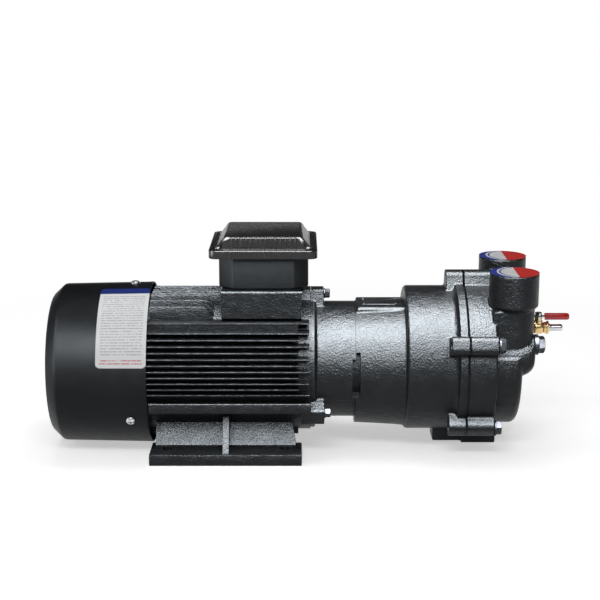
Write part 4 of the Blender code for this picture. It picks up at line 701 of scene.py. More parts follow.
def gathered(things: Iterable[Thing]) -> Thing:
    """Put several meshes into one object, shells as they are."""
    things = list(things)
    bm = bmesh.new()
    for thing in things:
        bm.from_mesh(thing.data)
    drop(*things)
    return from_bmesh(bm, "gathered")


def evaluated(thing: Thing) -> Thing:
    """Bake an object's modifiers into its mesh."""
    graph = bpy.context.evaluated_depsgraph_get()
    mesh = bpy.data.meshes.new_from_object(thing.evaluated_get(graph))
    thing.modifiers.clear()
    thing.data = mesh
    return thing


def modified(thing: Thing, kind: str, **values: object) -> Thing:
    """Add one modifier, set it and bake it.

    Args:
        thing: the object.
        kind: the modifier's type.
        values: its properties by name.

    Returns:
        The same object.
    """
    made = thing.modifiers.new(kind, kind)
    for key, value in values.items():
        setattr(made, key, value)
    return evaluated(thing)


def boolean(thing: Thing, tools: Iterable[Thing], operation: str, solver: str = "MANIFOLD") -> Thing:
    """Join, cut or intersect with several closed solids, one after another."""
    for tool in tools:
        modified(thing, "BOOLEAN", object=tool, operation=operation, solver=solver)
        drop(tool)
    return thing


def united(thing: Thing, *others: Thing) -> Thing:
    """Join closed solids into one."""
    return boolean(thing, others, "UNION")


def cut(thing: Thing, *tools: Thing) -> Thing:
    """Cut closed solids out of another."""
    return boolean(thing, tools, "DIFFERENCE")


def cast(shells: Sequence[Thing], voxel: float, passes: int = 4, keep: float = 0.5) -> Thing:
    """Melt overlapping closed shells into one casting with soft fillets.

    Args:
        shells: the closed shells.
        voxel: size of the grid in metres.
        passes: how often the surface is relaxed.
        keep: share of the faces that stays.

    Returns:
        The casting.
    """
    made = gathered(shells)
    modified(made, "REMESH", mode="VOXEL", voxel_size=voxel, adaptivity=0.0)
    modified(made, "SMOOTH", factor=0.5, iterations=passes)
    if keep < 1:
        modified(made, "DECIMATE", ratio=keep)
    return made


def bevelled(thing: Thing, width: float, segments: int = 2, angle: float = 40) -> Thing:
    """Round the sharp edges of a clean mesh."""
    return modified(thing, "BEVEL", width=width, segments=segments, limit_method="ANGLE",
                    angle_limit=radians(angle), use_clamp_overlap=True)


def settle(thing: Thing, name: str, finishes: Finishes, slot: Slot, nodes: Sequence[str] = (),
           body: str = HOUSING, angle: float = CRISP_ANGLE, material: Material | None = None) -> None:
    """Name a finished mesh, dress it, put it in its place and tie it to the model.

    Args:
        thing: the mesh, drawn about the shaft.
        name: the piece's name.
        finishes: all the finishes.
        slot: the material slot that the piece belongs to.
        nodes: the CAD nodes that it stands for.
        body: the body that carries it.
        angle: edges sharper than this stay sharp.
        material: its own finish, where it isn't the slot's.
    """
    thing.data.transform(TO_ROW)
    thing.name = thing.data.name = name
    thing.data.materials.clear()
    thing.data.materials.append(material or finishes[slot])
    thing.data.polygons.foreach_set("material_index", [0] * len(thing.data.polygons))
    thing.data.shade_smooth()
    thing.data.set_sharp_from_angle(angle=angle)
    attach(thing, body)
    if nodes:
        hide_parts(*nodes)
    LOG.info("%s: %d faces on %s", name, len(thing.data.polygons), body)


# Geometry node trees
class GeometryTree(Nodes):
    """A Geometry Nodes tree in the making: named inputs in, one mesh out."""

    def __init__(self, name: str, **kinds: str) -> None:
        """Start a tree with its named inputs.

        Args:
            name: the tree's name.
            kinds: each input's name and its socket type, such as Float.
        """
        super().__init__(bpy.data.node_groups.new(name, "GeometryNodeTree"))
        self.tree.interface.new_socket("Geometry", in_out="OUTPUT", socket_type="NodeSocketGeometry")
        self.identifiers = {}
        for key, kind in {"Geometry": "Geometry", **kinds}.items():
            made = self.tree.interface.new_socket(key, in_out="INPUT", socket_type=f"NodeSocket{kind}")
            self.identifiers[key] = made.identifier
        self.given = self.node("NodeGroupInput").outputs
        self.index = self.node("GeometryNodeInputIndex").outputs[0]

    def points(self, count: Socket) -> Socket:
        """A number of points, all at the origin."""
        return self.node("GeometryNodeMeshLine", count, None, self.vector()).outputs[0]

    def shape(self, name: str) -> Socket:
        """The mesh of a named input's object, as one instance."""
        info = self.node("GeometryNodeObjectInfo", self.given[name], True, transform_space="ORIGINAL")
        return info.outputs["Geometry"]

    def copies(self, points: Socket, shape: Socket,
               **more: Socket) -> Socket:
        """Instances of a shape on points, with a Rotation or a Scale."""
        return self.plugged("GeometryNodeInstanceOnPoints", Points=points, Instance=shape, **more)

    def end(self, geometry: Socket) -> None:
        """Realize the instances and close the tree."""
        self.node("NodeGroupOutput", self.node("GeometryNodeRealizeInstances", geometry).outputs[0])

    def run(self, host: Thing, **values: object) -> Thing:
        """Run the tree on an object and keep the plain mesh.

        Args:
            host: the object whose mesh goes in.
            values: the named inputs.

        Returns:
            The same object with its new mesh.
        """
        made = host.modifiers.new(self.tree.name, "NODES")
        made.node_group = self.tree
        for key, value in values.items():
            made[self.identifiers[key]] = value
        return evaluated(host)


def scatter_tree() -> GeometryTree:
    """Copies of a shape on points, each with its own turn."""
    made = GeometryTree("copies on points", Shape="Object")
    turn = made.node("GeometryNodeInputNamedAttribute", "turn", data_type="FLOAT_VECTOR").outputs[0]
    rotation = made.node("FunctionNodeEulerToRotation", turn).outputs[0]
    made.end(made.copies(made.given["Geometry"], made.shape("Shape"), Rotation=rotation))
    return made


@dataclass
class Spot:
    """One place of a repeated shape."""

    at: Point3
    turn: Point3 = (0.0, 0.0, 0.0)


def bolt_spots(x: float, places: Sequence[Point], step: float) -> list[Spot]:
    """Bolts on one face, each tightened some degrees further than the last."""
    return [Spot((x, *place), (radians(step * number), 0, 0)) for number, place in enumerate(places)]


def scattered(tree: GeometryTree, shape: Thing, spots: Sequence[Spot]) -> Thing:
    """Run the copying tree on a list of places.

    Args:
        tree: the tree from scatter_tree.
        shape: the shape to repeat, which is then removed.
        spots: the places.

    Returns:
        One object with every copy.
    """
    mesh = bpy.data.meshes.new("spots")
    mesh.from_pydata([spot.at for spot in spots], [], [])
    layer = mesh.attributes.new("turn", "FLOAT_VECTOR", "POINT")
    layer.data.foreach_set("vector", [c for spot in spots for c in spot.turn])
    host = tree.run(linked("spots", mesh), Shape=shape)
    drop(shape)
    return host


# Motor
@dataclass
class FanCowl:
    """The sheet cowl over the fan, with its grille, screws and bare label."""

    open_x: float = -0.1928
    length: float = 0.121
    inner_r: float = 0.0974
    sheet: float = 0.0014
    taper: float = 0.0024
    cone_length: float = 0.0135
    cone_depth: float = 0.0120
    bead: float = 0.0005
    screw_gap: float = 0.021
    screw_angles: tuple[float, ...] = (90, -30, 210)
    screw_head_r: float = 0.0056
    screw_head_t: float = 0.0040
    rings: int = 5
    spokes: int = 8
    grille_inner_r: float = 0.020
    grille_outer_r: float = 0.0675
    bar: float = 0.0036
    label_ends: Point = (-0.0595, -0.0003)
    label_sweep: Point = (10.5, 78.5)
    label_t: float = 0.00015
    label_corner: float = 0.004

    @property
    def end_x(self) -> float:
        """Place of the grille's outer face."""
        return self.open_x - self.length

    def inside(self, x: float) -> float:
        """Inner radius at a place along the shaft."""
        return self.inner_r - self.taper * (self.open_x - x) / self.length

    def shell(self) -> Thing:
        """The tapered wall with its coned end and the flat rim of the grille."""
        wall_x = self.end_x + self.cone_length
        outer = self.inside(wall_x) + self.sheet
        rim = outer - self.cone_depth
        bend = [(self.end_x, rim - 0.0020), (self.end_x + 0.0003, rim - 0.0007), (self.end_x + 0.0012, rim + 0.0007),
                (wall_x - 0.0022, outer - 0.0017), (wall_x - 0.0006, outer - 0.0005), (wall_x + 0.0016, outer)]
        profile = [(self.end_x, self.grille_outer_r), *bend]
        lip = self.inner_r + self.sheet
        profile += [(self.open_x - 0.004, lip - self.bead / 4), (self.open_x - 0.003, lip)]
        profile += arc(self.open_x - self.sheet / 2, self.inner_r + self.sheet / 2, self.sheet / 2, 90, -90, 6)
        profile += [(self.open_x - 0.004, self.inner_r)]
        profile += [(x + self.sheet * 0.66, r - self.sheet * 0.75) for x, r in bend[::-1]]
        profile += [(self.end_x + self.sheet, self.grille_outer_r)]
        return turned(profile, 192)

    def grille_tree(self) -> GeometryTree:
        """Rings and spokes of the grille, by rule."""
        made = GeometryTree("cowl grille", Rings="Int", Spokes="Int", Inner="Float", Outer="Float", Bar="Float",
                            Sheet="Float")
        rings, spokes, inner, outer, bar, sheet = (
            made.given[name] for name in ("Rings", "Spokes", "Inner", "Outer", "Bar", "Sheet"))
        span = made.math("SUBTRACT", outer, inner)
        pitch = made.math("DIVIDE", span, made.math("SUBTRACT", rings, 1.0))
        radius = made.math("ADD", inner, made.math("MULTIPLY", made.index, pitch))
        circle = made.plugged("GeometryNodeCurvePrimitiveCircle", Resolution=128, Radius=1.0)
        hoops = made.copies(made.points(rings), circle, Scale=made.vector(radius, radius, radius))
        real = made.node("GeometryNodeRealizeInstances", hoops).outputs[0]
        section = made.plugged("GeometryNodeCurvePrimitiveQuadrilateral", Width=bar, Height=sheet)
        hoop_mesh = made.node("GeometryNodeCurveToMesh", real, section).outputs[0]
        strip = made.node("GeometryNodeMeshCube", made.vector(span, bar, sheet)).outputs[0]
        middle = made.math("DIVIDE", made.math("ADD", outer, inner), 2.0)
        spoke = made.plugged("GeometryNodeTransform", Geometry=strip, Translation=made.vector(middle))
        turn = made.math("MULTIPLY", made.index, made.math("DIVIDE", tau, spokes))
        star = made.copies(made.points(spokes), spoke, Rotation=made.vector(0, 0, turn))
        both = made.node("GeometryNodeJoinGeometry")
        made.link(hoop_mesh, both.inputs[0])
        made.link(star, both.inputs[0])
        made.end(both.outputs[0])
        return made

    def grille(self) -> Thing:
        """The grille in its place, with a plain disc in its middle."""
        host = self.grille_tree().run(
            linked("grille", bpy.data.meshes.new("grille")), Rings=self.rings, Spokes=self.spokes,
            Inner=self.grille_inner_r, Outer=self.grille_outer_r, Bar=self.bar, Sheet=self.sheet,
        )
        moved(host, Matrix.Translation((self.end_x + self.sheet / 2, 0, 0)) @ Matrix.Rotation(pi / 2, 4, "Y"))
        return gathered([host, rod(self.grille_inner_r, self.end_x, self.end_x + self.sheet)])

    def label(self) -> Thing:
        """A thin bare label on the curved wall, with its own flat map."""
        across, along = 48, 24
        x0, x1 = (self.open_x + end for end in self.label_ends)
        bm = bmesh.new()
        layer = bm.loops.layers.uv.new("Label")
        middle = radians(sum(self.label_sweep) / 2)
        radius = self.inside((x0 + x1) / 2) + self.sheet
        height = radians(self.label_sweep[1] - self.label_sweep[0]) * radius
        grid = []
        for row in range(across + 1):
            v = row / across
            line = []
            for column in range(along + 1):
                u = column / along
                inset = self.corner_inset(v * height, height)
                x = x0 + inset + (x1 - x0 - 2 * inset) * u
                angle = middle + (v - 0.5) * height / radius
                r = self.inside(x) + self.sheet + self.label_t
                line.append((bm.verts.new((x, -r * cos(angle), r * sin(angle))), ((x - x0) / (x1 - x0), v)))
            grid.append(line)
        for row in range(across):
            for column in range(along):
                corners = [grid[row][column], grid[row][column + 1], grid[row + 1][column + 1],
                           grid[row + 1][column]]
                face = bm.faces.new([corner[0] for corner in corners])
                for loop, corner in zip(face.loops, corners):
                    loop[layer].uv = corner[1]
        made = new_object(bm, "label")
        modified(made, "SOLIDIFY", thickness=self.label_t * 0.9, offset=-1)
        return made

    def corner_inset(self, at: float, height: float) -> float:
        """How far the label's edge draws in near its round corners."""
        short = self.label_corner - min(at, height - at)
        return self.label_corner - sqrt(self.label_corner**2 - short**2) if short > 0 else 0.0

    def build(self, finishes: Finishes, copies: GeometryTree) -> None:
        """Make and settle every piece of the cowl."""
        settle(gathered([self.shell(), self.grille()]), "cowl_shell", finishes, Slot.SATIN, ["fan_cowl"])
        settle(self.label(), "cowl_label", finishes, Slot.SATIN, material=label_paper())
        x = self.open_x - self.screw_gap
        outside = self.inside(x) + self.sheet
        spots = [Spot((x, *polar(outside, angle)), (radians(angle - 90), 0, 0)) for angle in self.screw_angles]
        heads = scattered(copies, pan_screw(self.screw_head_r, self.screw_head_t), spots)
        settle(heads, "cowl_screw_heads", finishes, Slot.ZINC, numbered("cowl_screw", len(spots)))


def pan_screw(radius: float, height: float, shank: float = 0.002, reach: float = 0.008) -> Thing:
    """A round-headed screw with a cross recess, pointing up.

    Args:
        radius: radius of the head.
        height: height of the head.
        shank: radius of the shank.
        reach: length of the shank.

    Returns:
        The screw with its seat at the origin.
    """
    profile = [(-reach, shank), (0.0001, shank), (0.0001, radius * 0.97), (0.0004, radius)]
    profile += [(height * (0.25 + 0.75 * sin(a)), radius * cos(a)) for a in (0.15, 0.5, 0.85, 1.15, 1.4)]
    screw = turned([(-reach, 0), *profile, (height, 0)], 40, "Z")
    depth, wide, arm = height * 0.45, radius * 0.11, radius * 0.55
    cross = [block(-arm, arm, -wide, wide, depth, height + LAP), block(-wide, wide, -arm, arm, depth, height + LAP)]
    return cut(screw, *cross)


def hex_bolt(across: float, height: float, washer: float = 0.0, shank: float = 0.003,
             reach: float = 0.006) -> Thing:
    """A hexagon bolt with a chamfered head along +X, on a washer if one is given.

    Args:
        across: width of the head across its flats.
        height: height of the head.
        washer: thickness of the washer under it.
        shank: radius of the shank.
        reach: length of the shank under the seat.

    Returns:
        The bolt with its seat at the origin.
    """
    corner = across / 2 / cos(pi / 6)
    top = washer + height
    head = prism(hexagon(across), washer, top)
    cone = [(washer - LAP, corner + LAP), (washer + height * 0.80, corner + 0.0003), (top, across / 2 * 0.93)]
    boolean(head, [filled(cone, 64)], "INTERSECT")
    cut(head, filled([(top - 0.0005, across * 0.30), (top + LAP, across * 0.34)], 48))
    parts = [head, rod(shank, -reach, washer + height / 2, sides=24)]
    if washer:
        rim = corner + 0.0006
        parts.append(filled([(0, rim - 0.0003), (0.0003, rim), (washer - 0.0003, rim), (washer, rim - 0.0003)], 64))
    return united(*parts)


def label_paper() -> Material:
    """White label stock with a blue head band and thin ruled lines, all generic."""
    made = Surface("label stock", (0.80, 0.80, 0.80), 0.35)
    flat = made.node("ShaderNodeUVMap", uv_map="Label").outputs[0]
    across, up, _ = made.node("ShaderNodeSeparateXYZ", flat).outputs
    white, blue, grey, red = (0.80, 0.81, 0.82), (0.015, 0.035, 0.20), (0.44, 0.45, 0.48), (0.60, 0.06, 0.05)
    black, lit = (0, 0, 0), (1, 1, 1)
    place = made.math("MULTIPLY", up, 33.0)
    rows = made.tones(made.math("FRACT", place), ((0.0, black), (0.34, lit), (0.66, black)), steps=True)
    spots = made.vector(made.math("MULTIPLY", across, 34.0), made.math("MULTIPLY", made.math("FLOOR", place), 7.3))
    dashes = made.plugged("ShaderNodeTexNoise", Vector=spots, Scale=1.0, Detail=1.0)
    broken = made.tones(dashes, ((0.0, black), (0.43, lit)), steps=True)
    margin = made.tones(across, ((0.0, black), (0.08, lit), (0.92, black)), steps=True)
    used = made.tones(up, ((0.0, black), (0.030, lit), (0.85, black)), steps=True)
    ink = made.math("MULTIPLY", made.math("MULTIPLY", rows, broken), made.math("MULTIPLY", margin, used))
    tone = made.tones(up, ((0.0, red), (0.090, white), (0.121, grey)), steps=True)
    head = made.tones(up, ((0.0, black), (0.885, lit)), steps=True)
    made.dress(Base_Color=made.mixed(head, made.mixed(ink, white, tone), blue))
    made.dress(Roughness=made.span(made.noise(0.02, 2), 0.28, 0.42))
    made.relief((made.noise(0.03, 1), 0.0001))
    made.dress(Specular_IOR_Level=0.2)
    return made.material


@dataclass
class ShieldLugs:
    """The three lugs that frame and shield share, of which the top one is lower and has draft."""

    angles: tuple[float, ...] = FanCowl.screw_angles
    radius: float = 0.0965
    width: float = 0.023
    low: float = 0.003
    draft: float = 0.006

    def solids(self, inner: float, corner: float, start: float, end: float) -> list[Thing]:
        """The lugs of one casting.

        Args:
            inner: radius where they start.
            corner: radius of their outer corners.
            start: first place along the shaft.
            end: last place along the shaft.

        Returns:
            The three lugs.
        """
        made = []
        for angle in self.angles:
            low, draft = (self.low, self.draft) if angle == 90 else (0.0, 0.0)
            made.append(prism(lug(angle, inner, self.radius - low, self.width, corner, draft=draft), start, end))
        return made


@dataclass
class MotorFrame:
    """The finned frame casting with feet, rails, lugs and the terminal pad."""

    length: float = 0.205
    bore_r: float = 0.0778
    barrel_r: float = 0.083
    fin_r: float = 0.0965
    fin_t: float = 0.0021
    fin_pitch: float = 0.0071
    side_fins: int = 11
    fin_top: float = 0.0546
    ledge_z: float = 0.0645
    band_y: float = 0.0700
    long_gap: float = 0.0018
    short_gap: float = 0.0148
    cowl_x: float = -0.1914
    rail_z: Point = (-0.0393, -0.0268)
    rail_y: float = 0.093
    top_first: float = 0.0075
    top_pitch: float = 0.0097
    top_fins: int = 6
    top_r: float = 0.0997
    top_back_r: float = 0.0935
    top_cap: float = 0.0925
    top_straight: float = 0.030
    top_slope: float = 0.010
    top_drop: float = 0.014
    belly_r: float = 0.089
    belly_reach: float = 0.040
    foot_x: Point = (-0.1915, -0.0105)
    foot_t: float = 0.0137
    foot_y: float = 0.104
    foot_shelf: float = 0.034
    foot_lean: float = 0.005
    wall_x: Point = (-0.1862, -0.0175)
    gusset_angle: float = -28
    hole_gauge: float = 0.160
    hole_spacing: float = 0.140
    hole_r: float = 0.006
    gusset_t: float = 0.007
    pad_x: Point = (-0.1058, -0.0108)
    pad_half: float = 0.062
    pad_top: float = 0.1017
    pad_depth: float = 0.0323
    lug_t: float = 0.0112

    def blade(self) -> Thing:
        """One fin of unit length and reach, thin at its rounded tip."""
        root, tip = 0.5, 0.36
        side = [(0.0, root), (0.93, tip), (0.97, tip * 0.86), (0.992, tip * 0.55), (1.0, 0.0)]
        outline = side + [(y, -z) for y, z in side[-2::-1]]
        return prism(outline, 0, 1)

    def fin_tree(self) -> GeometryTree:
        """Level fins in a column, each reaching from the barrel to the tip circle."""
        made = GeometryTree("frame fins", Blade="Object", Count="Int", Top="Float", Pitch="Float", Root="Float",
                            Tip="Float", Thickness="Float", Length="Float", Start="Float", Stagger="Float")
        given = made.given
        height = made.math("SUBTRACT", given["Top"], made.math("MULTIPLY", made.index, given["Pitch"]))
        square = made.math("MULTIPLY", height, height)
        root, tip = (made.math("SQRT", made.math("SUBTRACT", made.math("MULTIPLY", radius, radius), square))
                     for radius in (given["Root"], given["Tip"]))
        odd = made.math("MODULO", made.index, 2.0)
        length = made.math("SUBTRACT", given["Length"], made.math("MULTIPLY", odd, given["Stagger"]))
        places = made.plugged("GeometryNodeSetPosition", Geometry=made.points(given["Count"]),
                              Position=made.vector(given["Start"], root, height))
        stretch = made.vector(length, made.math("SUBTRACT", tip, root), given["Thickness"])
        made.end(made.copies(places, made.shape("Blade"), Scale=stretch))
        return made

    def side_blades(self) -> list[Thing]:
        """The level fins of both flanks."""
        tree = self.fin_tree()
        sides = []
        for mirror in (1, -1):
            blade = self.blade()
            host = tree.run(
                linked("fins", bpy.data.meshes.new("fins")), Blade=blade, Count=self.side_fins, Top=self.fin_top,
                Pitch=self.fin_pitch, Root=self.barrel_r - 0.003, Tip=self.fin_r - 0.0003,
                Thickness=self.fin_t * 1.25, Length=self.length - self.long_gap, Start=-self.length,
                Stagger=self.short_gap - self.long_gap,
            )
            drop(blade)
            if mirror < 0:
                moved(host, Matrix.Scale(-1, 4, (0, 1, 0)))
                host.data.flip_normals()
            sides.append(host)
        return sides

    def ledge(self, side: int) -> Thing:
        """The thicker top fin of one flank."""
        inner, outer = 0.045, sqrt(self.fin_r**2 - (self.ledge_z + 0.001) ** 2)
        z = self.ledge_z
        flat = [(inner, z - 0.0012), (outer - 0.001, z - 0.001), (outer, z - 0.0004), (outer, z + 0.0004),
                (outer - 0.001, z + 0.001), (inner, z + 0.0012)]
        return prism([(side * y, h) for y, h in flat], -self.length, -self.long_gap)

    def band(self, side: int) -> Thing:
        """The flat band that fills the first gap under the ledge of one flank."""
        inner, low, high = 0.050, self.fin_top, self.ledge_z
        flat = [(inner, low), (self.band_y, low), (self.band_y, high), (inner, high)]
        return prism([(side * y, z) for y, z in flat], -self.length, -self.short_gap)

    def upright(self, y: float, radius: float, start: float, end: float, slope: float, sign: int) -> Thing:
        """One upright fin over or under the barrel.

        Args:
            y: its place across the machine.
            radius: circle that its tip reaches.
            start: its fan end.
            end: its drive end.
            slope: how far its drive end leans back.
            sign: 1 above the shaft and -1 below.

        Returns:
            The fin.
        """
        foot = sqrt(self.barrel_r**2 - y**2) - 0.003
        tip = min(sqrt(radius**2 - y**2), self.top_cap)
        knee = tip - min(self.top_drop, 0.8 * (tip - foot))
        rings = []
        for z, half, back in ((foot, 0.00125, 0.0), (knee, 0.0012, 0.0), (tip - 0.001, 0.0009, 1.0),
                              (tip, 0.0004, 1.05)):
            far = end - slope * back
            rings.append([(start, y - half, sign * z), (far, y - half, sign * z),
                          (far, y + half, sign * z), (start, y + half, sign * z)])
        return loft(rings)

    def foot(self, side: int) -> list[Thing]:
        """One foot: rail, sloping wall and the middle web."""
        top = FLOOR_Z + self.foot_t
        shelf = self.foot_y - self.foot_shelf
        seat = polar(self.barrel_r - 0.001, -47)
        under = polar(self.barrel_r - 0.001, -54)
        sole = [(self.foot_y, FLOOR_Z), (self.foot_y, top), (shelf - 0.0137, top), (shelf - 0.0069, FLOOR_Z)]
        rail = bevelled(prism([(side * y, z) for y, z in sole], *self.foot_x), 0.0012, 2)
        flat = [(shelf + 0.004, top - 0.002), (shelf + 0.004, top), (shelf + 0.001, top + 0.0015), seat, under]
        flat += [(shelf - 0.0117, top - 0.002)]
        wall = prism([(side * y, z) for y, z in flat], *self.wall_x)
        middle = sum(self.foot_x) / 2
        for vertex in wall.data.vertices:
            lean = self.foot_lean * (vertex.co.z - top) / (seat[1] - top)
            vertex.co.x -= lean if vertex.co.x > middle else 0.0
        high = polar(self.barrel_r - 0.0026, self.gusset_angle)
        web = [(self.foot_y - 0.005, top - GAP), high, (high[0] - self.foot_t, high[1] - self.foot_t)]
        web += [(shelf, top - GAP)]
        gusset = prism([(side * y, z) for y, z in web], middle - self.gusset_t / 2, middle + self.gusset_t / 2)
        return [rail, wall, gusset]

    def build(self, finishes: Finishes) -> None:
        """Make and settle the frame."""
        barrel = rod(self.barrel_r, -self.length, 0, sides=160)
        rows = [self.top_first + i * self.top_pitch for i in range(self.top_fins)]
        far = self.pad_x[0] - self.top_slope
        extras = self.side_blades()
        lugs = ShieldLugs().solids(0.078, 0.0035, -self.lug_t, 0)
        solids = []
        for side in (-1, 1):
            solids += [self.ledge(side), self.band(side)]
            for y in rows:
                end, slope = (self.pad_x[0] + LAP, 0) if y < self.top_straight else (far, self.top_slope)
                radius = self.top_r if side < 0 else self.top_back_r
                solids.append(self.upright(side * y, radius, self.cowl_x, end, slope, 1))
            solids += [self.upright(side * y, self.belly_r, -self.length, -self.short_gap, 0, -1)
                       for y in rows if y < self.belly_reach]
            reach = sorted((side * 0.070, side * self.rail_y))
            rail = prism(rounded(*reach, *self.rail_z, 0.0012, 3), self.cowl_x, 0)
            solids += [rail, *self.foot(side)]
        half, top = self.pad_half, self.pad_top
        pad = [(half, top - self.pad_depth), (half, top - 0.0015), (half - 0.0015, top)]
        pad += [(-y, z) for y, z in pad[::-1]] + [(-0.0389, 0.060), (0.0389, 0.060)]
        solids.append(prism(pad, *self.pad_x))
        united(barrel, *solids, *lugs)
        for fins in extras:
            boolean(barrel, [fins], "UNION", "EXACT")
        cut(barrel, rod(self.bore_r, -self.length - LAP, LAP, sides=128))
        middle = sum(self.foot_x) / 2
        for sx, sy in QUARTERS:
            spot = (middle + sx * self.hole_spacing / 2, sy * self.hole_gauge / 2)
            cut(barrel, rod(self.hole_r, FLOOR_Z - LAP, FLOOR_Z + self.foot_t + LAP, "Z", spot, 40))
        cut(barrel, block(*LEAD_HOLE_X, -0.015, 0.015, 0.05, 0.11))
        settle(barrel, "frame_casting", finishes, Slot.CAST, ["motor_frame"])


